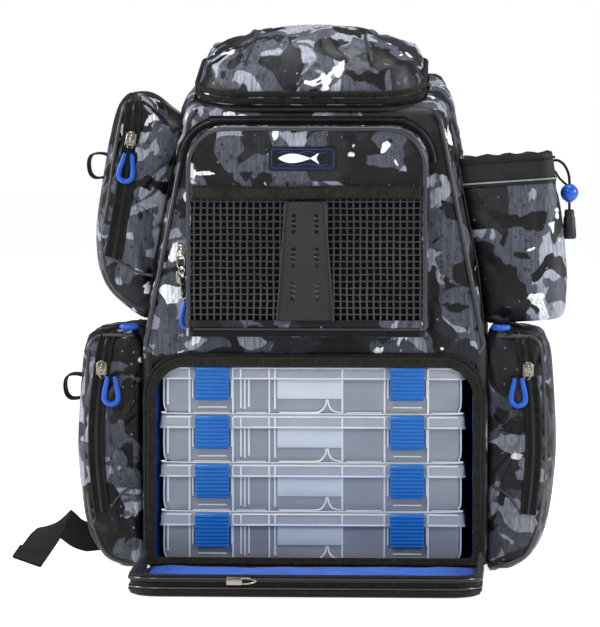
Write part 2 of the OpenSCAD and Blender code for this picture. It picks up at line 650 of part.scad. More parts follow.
main_shell();
bay_lining();
base_panel();
stiffener_boards();
opening_binding();
zip_chains();
back_pad();
shoulder_strap(-1);  // shoulder_strap_left
shoulder_strap(1);  // shoulder_strap_right
strap_webbing();
sternum_strap();
carry_handle();
waist_belt_left();
waist_belt_right();
pouch_upper_left();
low_pouch(-1);  // pouch_lower_left
low_pouch(1);  // pouch_lower_right
drawstring_pouch();
drawstring_collar();
webbing_loops();
drawcord();
cord_end();
cord_lock();
front_flap();
flap_mesh();
mesh_band();
tool_sleeve();
badge();
door_panel();
door_lining();
door_rim();
door_zip_chain();
top_lid();
box_tray(1);  // box_1_tray
box_lid(1);  // box_1_lid
box_latch(1, latch_x[0]);  // box_1_latch_left
box_latch(1, latch_x[1]);  // box_1_latch_right
box_tray(2);  // box_2_tray
box_lid(2);  // box_2_lid
box_latch(2, latch_x[0]);  // box_2_latch_left
box_latch(2, latch_x[1]);  // box_2_latch_right
box_tray(3);  // box_3_tray
box_lid(3);  // box_3_lid
box_latch(3, latch_x[0]);  // box_3_latch_left
box_latch(3, latch_x[1]);  // box_3_latch_right
box_tray(4);  // box_4_tray
box_lid(4);  // box_4_lid
box_latch(4, latch_x[0]);  // box_4_latch_left
box_latch(4, latch_x[1]);  // box_4_latch_right
flap_slider_upper();
flap_slider_lower();
left_slider_front();
left_slider_top();
right_slider_front();
right_slider_top();
upper_slider();
lid_slider();
door_slider();
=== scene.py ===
"""Looks of the tackle backpack: printed cloth, zips, cords, clear boxes and harness around the CAD frame.

Lengths are in millimetres in this file and become metres when a mesh is made.
"""

import logging
import math
from dataclasses import dataclass, field
from enum import Enum
from typing import Callable, Iterable, Sequence

import bmesh
import bpy
import numpy as np
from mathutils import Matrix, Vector, noise


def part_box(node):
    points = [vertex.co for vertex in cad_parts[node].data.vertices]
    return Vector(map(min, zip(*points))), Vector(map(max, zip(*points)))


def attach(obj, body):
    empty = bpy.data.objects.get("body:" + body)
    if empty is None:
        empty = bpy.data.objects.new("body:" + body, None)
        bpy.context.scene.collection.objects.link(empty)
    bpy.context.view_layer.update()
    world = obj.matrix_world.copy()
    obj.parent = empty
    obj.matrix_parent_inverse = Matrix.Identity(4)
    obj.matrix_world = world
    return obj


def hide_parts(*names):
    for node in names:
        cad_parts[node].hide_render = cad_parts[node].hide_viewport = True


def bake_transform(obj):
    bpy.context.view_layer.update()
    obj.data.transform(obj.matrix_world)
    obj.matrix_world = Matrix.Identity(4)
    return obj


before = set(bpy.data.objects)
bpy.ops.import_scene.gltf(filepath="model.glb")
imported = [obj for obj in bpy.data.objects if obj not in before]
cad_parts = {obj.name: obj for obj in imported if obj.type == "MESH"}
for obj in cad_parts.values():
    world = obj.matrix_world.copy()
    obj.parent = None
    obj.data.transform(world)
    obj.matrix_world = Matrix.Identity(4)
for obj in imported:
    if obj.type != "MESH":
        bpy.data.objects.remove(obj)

log = logging.getLogger("backpack")
MM = 0.001
Point = tuple[float, float, float]
Flat = tuple[float, float]
Colour = tuple[float, float, float, float]
Socket = bpy.types.NodeSocket
Side = Vector | Callable[[int], Vector]
Placer = Callable[[float, float, float], Vector]


class Slot(Enum):
    """Material slots of the record."""

    CAMO = "camo_cloth"
    LINING = "blue_lining"
    BASE = "base_rubber"
    WEBBING = "black_webbing"
    ZIP = "zip_coil"
    AIR_MESH = "air_mesh"
    NYLON = "black_nylon"
    CORD = "cord_black"
    PLASTIC = "black_plastic"
    BLUE = "blue_plastic"
    MESH = "mesh_rubber"
    BAND = "elastic_band"
    SLEEVE = "sleeve_rubber"
    BADGE = "badge_rubber"
    CLEAR = "clear_blue"
    LATCH = "latch_blue"
    METAL = "gunmetal"
    PULLER = "puller_blue"


def node_box(name: str) -> tuple[Vector, Vector]:
    """The rest box of a CAD node.

    Args:
        name: the node.

    Returns:
        Its lowest and highest corner, in millimetres.
    """
    lo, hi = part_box(name)
    return lo / MM, hi / MM


# ---- Colour and materials ----------------------------------------------------------------


def rgb(red: float, green: float, blue: float) -> Colour:
    """Turns a display colour into a linear one.

    Args:
        red: from 0 to 255.
        green: from 0 to 255.
        blue: from 0 to 255.

    Returns:
        Linear red, green and blue, and a full alpha.
    """

    def linear(v: float) -> float:
        """One channel, made linear."""
        v /= 255
        return v / 12.92 if v <= 0.04045 else ((v + 0.055) / 1.055) ** 2.4

    return linear(red), linear(green), linear(blue), 1.0


class Graph:
    """A short way to write a material's nodes."""

    def __init__(self, name: str) -> None:
        """Starts an empty material."""
        self.material = bpy.data.materials.new(f"{name}_look")
        self.material.use_nodes = True
        self.tree = self.material.node_tree
        self.tree.nodes.clear()

    def node(self, kind: str, inputs: dict | None = None, **settings) -> bpy.types.Node:
        """Adds a node; a socket given as an input is linked, and any other value is set.

        Args:
            kind: its type, less the common prefix.
            inputs: its sockets, by name or number.
            settings: its own settings.

        Returns:
            The node.
        """
        made = self.tree.nodes.new("ShaderNode" + kind)
        for key, value in settings.items():
            setattr(made, key, value)
        for key, value in (inputs or {}).items():
            if isinstance(value, Socket):
                self.tree.links.new(value, made.inputs[key])
            else:
                made.inputs[key].default_value = value
        return made

    def place(self, scale: Point = (1, 1, 1), shift: Point = (0, 0, 0), turn: Point = (0, 0, 0)) -> Socket:
        """Object coordinates through a mapping."""
        source = self.node("TexCoord").outputs["Object"]
        return self.node(
            "Mapping", {"Vector": source, "Scale": scale, "Location": shift, "Rotation": turn}
        ).outputs[0]

    def noise(
        self, at: Socket, scale: float, detail: float = 2, rough: float = 0.5, bend: float = 0
    ) -> Socket:
        """Noise, from about 0 to 1."""
        inputs = {"Vector": at, "Scale": scale, "Detail": detail, "Roughness": rough, "Distortion": bend}
        return self.node("TexNoise", inputs).outputs[0]

    def step(self, value: Socket, low: float, high: float) -> Socket:
        """0 below low, 1 above high; low above high turns it round."""
        first, second = (0, 1) if low < high else (1, 0)
        inputs = {0: value, 1: min(low, high), 2: max(low, high), 3: first, 4: second}
        return self.node("MapRange", inputs, clamp=True).outputs[0]

    def sums(self, how: str, a: Socket | float, b: Socket | float = 0.0) -> Socket:
        """A maths node."""
        return self.node("Math", {0: a, 1: b}, operation=how).outputs[0]

    def mix(self, share: Socket | float, a, b) -> Socket:
        """Mixes two colours."""
        return self.node("Mix", {0: share, 6: a, 7: b}, data_type="RGBA").outputs[2]

    def bump(self, height: Socket, depth: float, strength: float = 1.0, under=None) -> Socket:
        """Bump of a depth in millimetres.

        Args:
            height: the relief.
            depth: its depth.
            strength: its share of the normal.
            under: the normal that it is laid over.

        Returns:
            The normal.
        """
        inputs = {"Height": height, "Distance": depth * MM, "Strength": strength}
        if under is not None:
            inputs["Normal"] = under
        return self.node("Bump", inputs).outputs[0]

    def weave(self, pitch: float) -> Socket:
        """Crossing threads of a pitch in millimetres.

        Args:
            pitch: distance between threads, in millimetres.

        Returns:
            Their height.
        """
        at = self.place()
        bands = []
        for direction in ("X", "Z", "Y"):
            inputs = {"Vector": at, "Scale": 314 / pitch, "Distortion": 0.4, "Detail": 1}
            bands.append(
                self.node("TexWave", inputs, wave_type="BANDS", bands_direction=direction).outputs[1]
            )
        return self.sums("MULTIPLY", self.sums("ADD", bands[0], bands[2]), bands[1])

    def close(self, surface: bpy.types.Node) -> bpy.types.Material:
        """Links the surface to the output."""
        self.node("OutputMaterial", {"Surface": surface.outputs[0]})
        return self.material


@dataclass(frozen=True)
class Finish:
    """A finish and the record's slot that it belongs to."""

    name: str
    slot: Slot
    colour: Colour = (0.5, 0.5, 0.5, 1)
    rough: float = 0.5

    def build(self) -> bpy.types.Material:
        """Makes the material."""
        raise NotImplementedError

    def material(self) -> bpy.types.Material:
        """The material, made the first time that it is asked for."""
        return bpy.data.materials.get(f"{self.name}_look") or self.build()


@dataclass(frozen=True)
class Camo(Finish):
    """Coated cloth with a printed pattern of soft-edged patches, rings and dots; its scattered near-white
    patches are partly white print and partly painted highlight, and light scales each copy's colour, lighter
    as painted light above 1 and darker as painted shade below 1.
    """

    shift: Point = (0, 0, 0)
    # the copy's colour scaled lighter as painted light above 1 and darker as painted shade below 1
    light: float = 1.0
    wrinkle: float = 1.0

    def build(self) -> bpy.types.Material:
        """Makes the material."""
        g = Graph(self.name)
        at = g.place(shift=self.shift)
        wide = g.noise(at, 24, 2.2, 0.5, 0.55)
        pale = g.noise(
            g.place(shift=(self.shift[0] + 3.1, self.shift[1] + 1.7, self.shift[2] - 2.2)), 27, 2.6, 0.52,
            0.6
        )
        # noise for the scattered near-white patches: partly white print, partly painted highlight
        white_print_and_painted_highlight = g.noise(
            g.place(shift=(self.shift[0] - 1.3, self.shift[1] + 5.2, self.shift[2] + 4.4)), 34, 2.4, 0.5,
            0.9
        )
        shade = g.noise(g.place(shift=(9, 4, 2)), 15, 1.5, 0.5, 0.3)
        cells = g.node("TexVoronoi", {"Vector": at, "Scale": 92, "Randomness": 0.35}).outputs["Distance"]
        rings = g.node("TexVoronoi", {"Vector": at, "Scale": 128, "Randomness": 0.9}).outputs["Distance"]
        ring = g.sums("MULTIPLY", g.step(rings, 0.16, 0.2), g.step(rings, 0.3, 0.26))
        dot = g.step(cells, 0.11, 0.08)
        thread = g.noise(g.place(scale=(1, 1, 0.06), shift=self.shift), 620, 1, 0.5)
        lo, md, hi, top = rgb(11, 11, 13), rgb(74, 77, 88), rgb(146, 149, 162), rgb(240, 242, 248)
        dark = g.mix(g.step(shade, 0.5, 0.54), lo, rgb(32, 33, 37))
        dark = g.mix(g.sums("MULTIPLY", dot, 0.75), dark, rgb(140, 142, 150))
        mid = g.mix(g.sums("MULTIPLY", ring, 0.7), md, rgb(28, 29, 34))
        mid = g.mix(g.step(pale, 0.55, 0.565), mid, hi)
        colour = g.mix(g.step(wide, 0.485, 0.497), dark, mid)
        colour = g.mix(g.step(pale, 0.385, 0.37), colour, lo)
        # near-white patches: partly white print, partly painted highlight
        colour = g.mix(g.step(white_print_and_painted_highlight, 0.675, 0.69), colour, top)
        # Value scales the colour by the thread hatch, which is weave, and by the copy's scale: painted light
        # above 1, painted shade below 1
        thread_and_painted_light = g.node(
            "HueSaturation",
            {"Color": colour, "Value": g.sums("MULTIPLY", g.step(thread, -0.1, 1.1), self.light * 1.85)}
        )
        folds = g.bump(g.noise(at, 26, 3, 0.55, 0.5), 5.0 * self.wrinkle, 0.5)
        folds = g.bump(g.noise(g.place(scale=(1, 1, 0.45)), 95, 2, 0.5, 0.4), 1.0 * self.wrinkle, 0.5, folds)
        cloth = g.bump(g.weave(0.9), 0.12, 0.5, folds)
        grain = g.noise(at, 300, 2)
        inputs = {
            "Base Color": thread_and_painted_light.outputs[0],
            "Roughness": g.step(grain, -0.6, 1.9),
            "Specular IOR Level": 0.25,
            "Sheen Weight": 0.02,
            "Sheen Roughness": 0.4,
            "Normal": cloth,
        }
        return g.close(g.node("BsdfPrincipled", inputs))


@dataclass(frozen=True)
class Cloth(Finish):
    """Plain woven cloth with creases."""

    weave: float = 0.8
    crease: float = 1.0
    sheen: float = 0.2
    spread: float = 0.25

    def build(self) -> bpy.types.Material:
        """Makes the material."""
        g = Graph(self.name)
        at = g.place()
        tone = g.noise(at, 40, 3, 0.6)
        light = tuple(min(1.0, c * (1 + self.spread)) for c in self.colour[:3]) + (1,)
        deep = tuple(c * (1 - self.spread) for c in self.colour[:3]) + (1,)
        folds = g.bump(g.noise(at, 32, 3, 0.55, 0.6), 4.0 * self.crease, 0.45)
        inputs = {
            "Base Color": g.mix(g.step(tone, 0.3, 0.7), deep, light),
            "Roughness": self.rough,
            "Specular IOR Level": 0.16,
            "Sheen Weight": self.sheen,
            "Sheen Roughness": 0.4,
            "Normal": g.bump(g.weave(self.weave), 0.12, 0.6, folds),
        }
        return g.close(g.node("BsdfPrincipled", inputs))


@dataclass(frozen=True)
class Ribbed(Finish):
    """Webbing or elastic with ribs across one of its directions, carried by the UV map."""

    pitch: float = 1.6
    depth: float = 0.5

    def build(self) -> bpy.types.Material:
        """Makes the material."""
        g = Graph(self.name)
        uv = g.node("UVMap").outputs[0]
        ribs = g.node(
            "TexWave",
            {"Vector": uv, "Scale": 314 / self.pitch, "Distortion": 0.5, "Detail": 2, "Detail Scale": 2},
            bands_direction="X"
        ).outputs[1]
        tone = g.noise(g.place(), 160, 2, 0.6)
        light = tuple(min(1.0, c * 1.9 + 0.012) for c in self.colour[:3]) + (1,)
        # rib crests lighter in patches of noise
        rib_crests_lighter = g.mix(g.sums("MULTIPLY", g.step(tone, 0.35, 0.75), ribs), self.colour, light)
        fuzz = g.bump(g.noise(g.place(), 1100, 2), 0.15, 0.5)
        inputs = {
            "Base Color": rib_crests_lighter,
            "Roughness": self.rough,
            "Specular IOR Level": 0.1,
            "Sheen Weight": 0.05,
            "Sheen Roughness": 0.45,
            "Normal": g.bump(ribs, self.depth, 0.9, fuzz),
        }
        return g.close(g.node("BsdfPrincipled", inputs))


@dataclass(frozen=True)
class Moulded(Finish):
    """Plastic or rubber with a fine grain."""

    grain: float = 0.05
    coat: float = 0.0
    glow: float = 0.0

    def build(self) -> bpy.types.Material:
        """Makes the material."""
        g = Graph(self.name)
        at = g.place()
        tone = g.step(g.noise(at, 55, 3, 0.55), 0.2, 0.8)
        light = tuple(min(1.0, c * 1.15 + 0.004) for c in self.colour[:3]) + (1,)
        inputs = {
            "Base Color": g.mix(tone, self.colour, light),
            "Roughness": g.sums("ADD", g.sums("MULTIPLY", g.noise(at, 420, 2), 0.16), self.rough - 0.08),
            "Specular IOR Level": 0.22,
            "Coat Weight": self.coat,
            "Coat Roughness": 0.2,
            "Subsurface Weight": self.glow,
            "Normal": g.bump(g.noise(at, 1500, 2), self.grain, 0.5),
        }
        if self.glow:
            inputs["Subsurface Radius"] = (0.4, 0.6, 1.0)
            inputs["Subsurface Scale"] = 0.004
        return g.close(g.node("BsdfPrincipled", inputs))


@dataclass(frozen=True)
class Metal(Finish):
    """Plated metal, a little scuffed."""

    def build(self) -> bpy.types.Material:
        """Makes the material."""
        g = Graph(self.name)
        scuff = g.noise(g.place(), 380, 3, 0.6)
        inputs = {
            "Base Color": self.colour,
            "Metallic": 1.0,
            "Roughness": g.sums("ADD", g.sums("MULTIPLY", scuff, 0.2), self.rough - 0.1),
            "Normal": g.bump(scuff, 0.03, 0.4),
        }
        return g.close(g.node("BsdfPrincipled", inputs))


@dataclass(frozen=True)
class Clear(Finish):
    """Milky see-through plastic: more solid where it is seen edge on."""

    body: float = 0.42

    def build(self) -> bpy.types.Material:
        """Makes the material."""
        g = Graph(self.name)
        at = g.place()
        haze = g.noise(at, 30, 2, 0.5)
        bump = g.bump(g.noise(at, 60, 1), 0.25, 0.35)
        inputs = {
            "Base Color": self.colour,
            "Roughness": self.rough,
            "Specular IOR Level": 0.6,
            "Coat Weight": 0.4,
            "Coat Roughness": 0.12,
            "Subsurface Weight": 0.25,
            "Subsurface Scale": 0.004,
            "Normal": bump,
        }
        solid = g.node("BsdfPrincipled", inputs)
        through = g.node("BsdfTransparent", {"Color": rgb(226, 232, 244)})
        edge = g.node("LayerWeight", {"Blend": 0.35}).outputs["Facing"]
        share = g.sums(
            "ADD", g.sums("MULTIPLY", edge, 0.45),
            g.sums("ADD", g.sums("MULTIPLY", haze, 0.12), self.body - 0.06)
        )
        return g.close(g.node("MixShader", {0: share, 1: through.outputs[0], 2: solid.outputs[0]}))


@dataclass(frozen=True)
class Mesh3D(Finish):
    """Spacer mesh: a fabric of small open cells, painted dark inside as painted shade."""

    def build(self) -> bpy.types.Material:
        """Makes the material."""
        g = Graph(self.name)
        at = g.place(scale=(1, 1, 0.8))
        cells = g.node("TexVoronoi", {"Vector": at, "Scale": 330, "Randomness": 0.18}).outputs["Distance"]
        # the open cells take a fifth of the colour: painted shade inside them
        hole = g.step(cells, 0.34, 0.22)
        light = tuple(c * 1.6 + 0.01 for c in self.colour[:3]) + (1,)
        inputs = {
            "Base Color": g.mix(hole, light, tuple(c * 0.2 for c in self.colour[:3]) + (1,)),
            "Roughness": self.rough,
            "Sheen Weight": 0.08,
            "Sheen Roughness": 0.5,
            "Normal": g.bump(hole, 0.8, 0.8, g.bump(g.noise(g.place(), 22, 2), 4, 0.4)),
        }
        inputs["Normal"].node.invert = True
        return g.close(g.node("BsdfPrincipled", inputs))


# copies of the print at different brightness: the lid's copy lighter as painted light, the side pouch's copy
# darker as painted shade, the flap's copy a little lighter as painted light and the pouch's a little darker
# as painted shade
CAMO = Camo("camo_print", Slot.CAMO)
CAMO_FLAP = Camo("camo_print_flap", Slot.CAMO, shift=(0.13, 0.02, -0.035), light=1.05, wrinkle=0.6)
CAMO_LID_PAINTED_LIGHT = Camo("camo_print_lid_painted_light", Slot.CAMO, shift=(0.31, 0.2, 0.06), light=1.25, wrinkle=0.7)
CAMO_SIDE_PAINTED_SHADE = Camo("camo_print_side_painted_shade", Slot.CAMO, shift=(0.7, 0.45, 0.21), light=0.62)
CAMO_POUCH = Camo("camo_print_pouch", Slot.CAMO, shift=(-0.42, 0.33, 0.52), light=0.95)
PIPING = Moulded("cord_piping", Slot.CAMO, rgb(52, 53, 58), 0.34, 0.1, 0.35)
LINING = Cloth("blue_taffeta", Slot.LINING, rgb(10, 84, 190), 0.5, 0.5, 1.2, 0.1)
NYLON = Cloth("black_nylon", Slot.NYLON, rgb(19, 19, 20), 0.5, 0.7, 1.0, 0.06)
DARK = Cloth("collar_nylon", Slot.NYLON, rgb(33, 34, 37), 0.5, 0.7, 1.5, 0.1)
WEBBING = Ribbed("black_webbing", Slot.WEBBING, rgb(24, 24, 23), 0.55, 1.5, 0.35)
BINDING = Ribbed("binding_tape", Slot.WEBBING, rgb(22, 22, 20), 0.6, 1.7, 0.4)
ELASTIC = Ribbed("ribbed_elastic", Slot.BAND, rgb(33, 32, 26), 0.6, 2.2, 0.7)
COIL = Moulded("zip_coil", Slot.ZIP, rgb(22, 22, 22), 0.32, 0.1, 0.15)
TAPE = Ribbed("zip_tape", Slot.ZIP, rgb(15, 15, 15), 0.6, 0.9, 0.15)
RUBBER = Moulded("moulded_base", Slot.BASE, rgb(28, 28, 28), 0.6, 0.3)
PLASTIC = Moulded("black_plastic", Slot.PLASTIC, rgb(34, 36, 38), 0.42, 0.08)
BALL = Moulded("blue_plastic", Slot.BLUE, rgb(24, 78, 172), 0.3, 0.04, 0.3)
# mid grey: partly the strands' own dark colour, partly painted sheen along them
GRID_PAINTED_SHEEN = Moulded("mesh_strand_painted_sheen", Slot.MESH, rgb(50, 50, 53), 0.24, 0.04, 0.6)
# near black, darker than the black nylon: painted shade inside the pocket, seen through the mesh
PIT_PAINTED_SHADE = Cloth("mesh_backing_painted_shade", Slot.NYLON, rgb(7, 7, 8), 0.7, 0.7, 0.6, 0.0)
SLEEVE = Moulded("sleeve_rubber", Slot.SLEEVE, rgb(40, 40, 41), 0.55, 0.12)
BADGE = Moulded("badge_rubber", Slot.BADGE, rgb(14, 15, 18), 0.45, 0.1)
BADGE_LINE = Moulded("badge_line", Slot.BADGE, rgb(30, 52, 110), 0.4, 0.05)
BADGE_WHITE = Moulded("badge_white", Slot.BADGE, rgb(236, 238, 240), 0.42, 0.05)
LATCH = Moulded("latch_blue", Slot.LATCH, rgb(30, 106, 182), 0.34, 0.05, 0.15)
CLEAR = Clear("clear_box", Slot.CLEAR, rgb(226, 230, 236), 0.22, 0.3)
# whiter and more solid than the walls: partly the thicker plastic, partly painted highlight along ribs and
# rims
EDGE_PAINTED_HIGHLIGHT = Clear("clear_edge_painted_highlight", Slot.CLEAR, rgb(246, 248, 252), 0.25, 0.8)
CLEAR_LABEL = Clear("clear_label", Slot.CLEAR, rgb(244, 246, 250), 0.3, 0.62)
CLEAR_LID = Clear("clear_lid", Slot.CLEAR, rgb(232, 235, 240), 0.28, 0.4)
GUNMETAL = Metal("gunmetal", Slot.METAL, rgb(150, 144, 132), 0.3)
SILVER = Metal("silver_plate", Slot.METAL, rgb(206, 203, 196), 0.26)
PULLER = Moulded("puller_blue", Slot.PULLER, rgb(26, 82, 178), 0.36, 0.05, 0.25)
CORD = Ribbed("braided_cord", Slot.CORD, rgb(24, 24, 24), 0.55, 1.3, 0.5)
MESH3D = Mesh3D("air_mesh", Slot.AIR_MESH, rgb(30, 31, 33), 0.75)
TAG = Cloth("white_tag", Slot.BAND, rgb(208, 208, 204), 0.6, 0.6, 0.2, 0.1)
THREAD = Cloth("pale_thread", Slot.WEBBING, rgb(150, 150, 150), 0.6, 0.4, 0.1, 0.1)


# ---- Mesh tools --------------------------------------------------------------------------


def vec(x: float, y: float, z: float) -> Vector:
    """A point in millimetres."""
    return Vector((x, y, z))


def arc(cx: float, cz: float, r: float, start: float, end: float, steps: int) -> list[Flat]:
    """Points of an arc, angles in degrees."""
    angles = [math.radians(start + (end - start) * i / steps) for i in range(steps + 1)]
    return [(cx + r * math.cos(a), cz + r * math.sin(a)) for a in angles]


def arch(x0: float, x1: float, z0: float, z1: float, top: float, low: float) -> list[Flat]:
    """A box with rounded upper and lower corners, from its lower right corner round to its lower left."""
    return (
        arc(x1 - low, z0 + low, low, -90, 0, 8) + arc(x1 - top, z1 - top, top, 0, 90, 12)
        + arc(x0 + top, z1 - top, top, 90, 180, 12) + arc(x0 + low, z0 + low, low, 180, 270, 8)
    )


def even(points: Sequence[Vector], step: float, closed: bool = False, count: int = 0) -> list[Vector]:
    """Points at even steps along a polyline; count, if given, is the number of steps.

    Args:
        points: the polyline.
        step: distance between the new points.
        closed: joins the last point to the first.
        count: number of steps, if it is fixed.

    Returns:
        The new points.
    """
    line = list(points) + ([points[0]] if closed else [])
    run = [0.0]
    for a, b in zip(line, line[1:]):
        run.append(run[-1] + (b - a).length)
    count = count or max(2, round(run[-1] / step))
    found, at = [], 0
    for i in range(count + (0 if closed else 1)):
        want = run[-1] * i / count
        while at < len(run) - 2 and run[at + 1] < want:
            at += 1
        gap = run[at + 1] - run[at]
        found.append(line[at].lerp(line[at + 1], (want - run[at]) / gap if gap else 0))
    return found


def curve(points: Sequence[Point | Vector], step: float = 3.0, closed: bool = False) -> list[Vector]:
    """A smooth line through points, at even steps.

    Args:
        points: points that the line goes through.
        step: distance between the new points.
        closed: joins the last point to the first.

    Returns:
        The line.
    """
    p = [Vector(q) for q in points]
    n = len(p)
    fine = []
    for i in range(n if closed else n - 1):
        ids = [(i + k) % n for k in (-1, 0, 1, 2)] if closed else [max(0, i - 1), i, i + 1, min(n - 1, i + 2)]
        a, b, c, d = (p[k] for k in ids)
        for k in range(12):
            t = k / 12
            fine.append(
                0.5 * (
                    2 * b + (c - a) * t + (2 * a - 5 * b + 4 * c - d) * t * t
                    + (3 * b - a - 3 * c + d) * t**3
                )
            )
    return even(fine if closed else fine + [p[-1]], step, closed)


def round_section(r: float, sides: int = 10) -> list[Flat]:
    """A round section of a sweep."""
    return [
        (r * math.cos(2 * math.pi * k / sides), r * math.sin(2 * math.pi * k / sides)) for k in range(sides)
    ]


def band_section(width: float, thick: float, soft: float = 0.5) -> list[Flat]:
    """A flat section with eased edges."""
    w, t, s = width / 2, thick / 2, min(soft, thick / 2.2)
    return [
        (w, -t + s), (w, t - s), (w - s, t), (0, t), (-w + s, t), (-w, t - s), (-w, -t + s), (-w + s, -t),
        (0, -t), (w - s, -t)
    ]


def from_gap(points: list[Vector]) -> list[Vector]:
    """A ring's points from the far side of its widest gap on."""
    start = max(range(len(points)), key=lambda i: (points[i] - points[i - 1]).length)
    return points[start:] + points[:start]


class Sculpt:
    """Mesh work in millimetres that ends as one piece."""

    def __init__(self, name: str) -> None:
        """Starts an empty mesh."""
        self.name = name
        self.bm = bmesh.new()
        self.uv = self.bm.loops.layers.uv.new("UVMap")

    def skin(
        self, rings: Sequence[Sequence[Vector]], loop: bool = False, caps: bool = True,
        ring_closed: bool = True
    ) -> list[list[bmesh.types.BMVert]]:
        """Joins rings of points with faces.

        Args:
            rings: rings of equal length.
            loop: joins the last ring to the first.
            caps: closes the first and the last ring.
            ring_closed: joins each ring's last point to its first.

        Returns:
            The vertices, ring by ring.
        """
        n, m = len(rings[0]), len(rings)
        spans = n if ring_closed else n - 1
        rings = [ring if len(ring) == n else even(ring, 1, ring_closed, spans) for ring in rings]
        made = [[self.bm.verts.new(p) for p in ring] for ring in rings]
        along = [0.0]
        for k in range(1, m + 1):
            along.append(along[-1] + (Vector(rings[k % m][0]) - Vector(rings[k - 1][0])).length * MM)
        round_ = [0.0]
        for k in range(1, n + 1):
            round_.append(round_[-1] + (Vector(rings[0][k % n]) - Vector(rings[0][k - 1])).length * MM)
        for i in range(m if loop else m - 1):
            for k in range(n if ring_closed else n - 1):
                a, b = made[i], made[(i + 1) % m]
                face = self.bm.faces.new((a[k], a[(k + 1) % n], b[(k + 1) % n], b[k]))
                for corner, (u, v) in zip(face.loops, ((i, k), (i, k + 1), (i + 1, k + 1), (i + 1, k))):
                    corner[self.uv].uv = (along[u], round_[v])
        if caps and not loop:
            self.bm.faces.new(reversed(made[0]))
            self.bm.faces.new(made[-1])
        return made

    def skin_of(self, rings: Sequence[Sequence[Vector]]) -> "Sculpt":
        """A closed form through rings."""
        self.skin(rings)
        return self

    def sweep(
        self, path: Sequence[Vector], section: Sequence[Flat], side: Side, loop: bool = False,
        scale: Callable[[int], float] | None = None
    ) -> "Sculpt":
        """Carries a section along a path, its first direction kept near side.

        Args:
            path: points along its middle.
            section: its section.
            side: direction that the section starts from.
            loop: joins its ends.
            scale: size of the section at each point.

        Returns:
            This work.
        """
        n, rings = len(path), []
        for i, p in enumerate(path):
            if loop:
                t = (path[(i + 1) % n] - path[i - 1]).normalized()
            else:
                t = (path[min(i + 1, n - 1)] - path[max(i - 1, 0)]).normalized()
            s = Vector(side(i) if callable(side) else side)
            s = (s - t * s.dot(t)).normalized()
            u = t.cross(s)
            f = scale(i) if scale else 1.0
            rings.append([p + s * a * f + u * b * f for a, b in section])
        self.skin(rings, loop)
        return self

    def coil(
        self, path: Sequence[Vector], side: Side, width: float = 3.4, height: float = 1.6,
        pitch: float = 2.0
    ) -> "Sculpt":
        """A zip's coil: a flat tube with a ridge at every tooth.

        Args:
            path: points along its middle.
            side: direction of its width.
            width: its width.
            height: its height.
            pitch: distance between teeth.

        Returns:
            This work.
        """
        fine = even(path, pitch / 2)
        pick = (
            lambda i: side(min(len(path) - 1, round(i * len(path) / len(fine))))
        ) if callable(side) else side
        ring = [(a * width / 2, b * height / 2) for a, b in round_section(1, 8)]
        return self.sweep(fine, ring, pick, scale=lambda i: 1.0 if i % 2 else 0.74)

    def box(self, lo: Sequence[float], hi: Sequence[float], soft: float = 0.0, segments: int = 2) -> "Sculpt":
        """A block with eased edges.

        Args:
            lo: its lowest corner.
            hi: its highest corner.
            soft: radius of its edges.
            segments: faces across an edge.

        Returns:
            This work.
        """
        made = bmesh.ops.create_cube(self.bm, size=1)["verts"]
        size = [hi[k] - lo[k] for k in range(3)]
        mid = Vector([(hi[k] + lo[k]) / 2 for k in range(3)])
        bmesh.ops.scale(self.bm, verts=made, vec=size)
        if soft:
            edges = list({e for v in made for e in v.link_edges})
            made = bmesh.ops.bevel(
                self.bm, geom=edges, offset=min(soft, min(size) * 0.45), segments=segments, profile=0.5,
                affect="EDGES", material=-1, clamp_overlap=True
            )["verts"]
            made = list(self._island(made))
        bmesh.ops.translate(self.bm, verts=made, vec=mid)
        return self

    def _island(self, verts: Iterable[bmesh.types.BMVert]) -> set[bmesh.types.BMVert]:
        """The vertices joined to these.

        Args:
            verts: some vertices of the part.

        Returns:
            All of its vertices.
        """
        found, todo = set(verts), list(verts)
        while todo:
            for e in todo.pop().link_edges:
                for v in e.verts:
                    if v not in found:
                        found.add(v)
                        todo.append(v)
        return found

    def prism(
        self, outline: Sequence[Flat], y0: float, y1: float, soft: float = 0.0, place: Placer = vec
    ) -> "Sculpt":
        """A plate with eased edges whose outline lies in the front plane.

        Args:
            outline: points round it.
            y0: its front.
            y1: its back.
            soft: radius of its edges.
            place: maps its points into the frame.

        Returns:
            This work.
        """
        n = len(outline)
        cx, cz = sum(p[0] for p in outline) / n, sum(p[1] for p in outline) / n

        def ring(y: float, inset: float) -> list[Vector]:
            """The outline at one depth, drawn in by inset."""
            moved = []
            for i, (x, z) in enumerate(outline):
                a, b = outline[i - 1], outline[(i + 1) % n]
                t = Vector((b[0] - a[0], b[1] - a[1])).normalized()
                normal = Vector((t.y, -t.x))
                if normal.dot(Vector((x - cx, z - cz))) < 0:
                    normal = -normal
                moved.append(place(x - normal.x * inset, y, z - normal.y * inset))
            return moved

        rings = [
            ring(y0, soft), ring(y0 + soft * 0.3, soft * 0.3), ring(y0 + soft, 0)
        ] if soft else [ring(y0, 0)]
        rings += [
            ring(y1 - soft, 0), ring(y1 - soft * 0.3, soft * 0.3), ring(y1, soft)
        ] if soft else [ring(y1, 0)]
        self.skin(rings)
        return self

    def ball(self, centre: Sequence[float], r: float, squash: Point = (1, 1, 1)) -> "Sculpt":
        """A ball, flattened if asked.

        Args:
            centre: its middle.
            r: its radius.
            squash: its scale along each axis.

        Returns:
            This work.
        """
        made = bmesh.ops.create_uvsphere(self.bm, u_segments=28, v_segments=16, radius=r)["verts"]
        bmesh.ops.scale(self.bm, verts=made, vec=squash)
        bmesh.ops.translate(self.bm, verts=made, vec=centre)
        return self

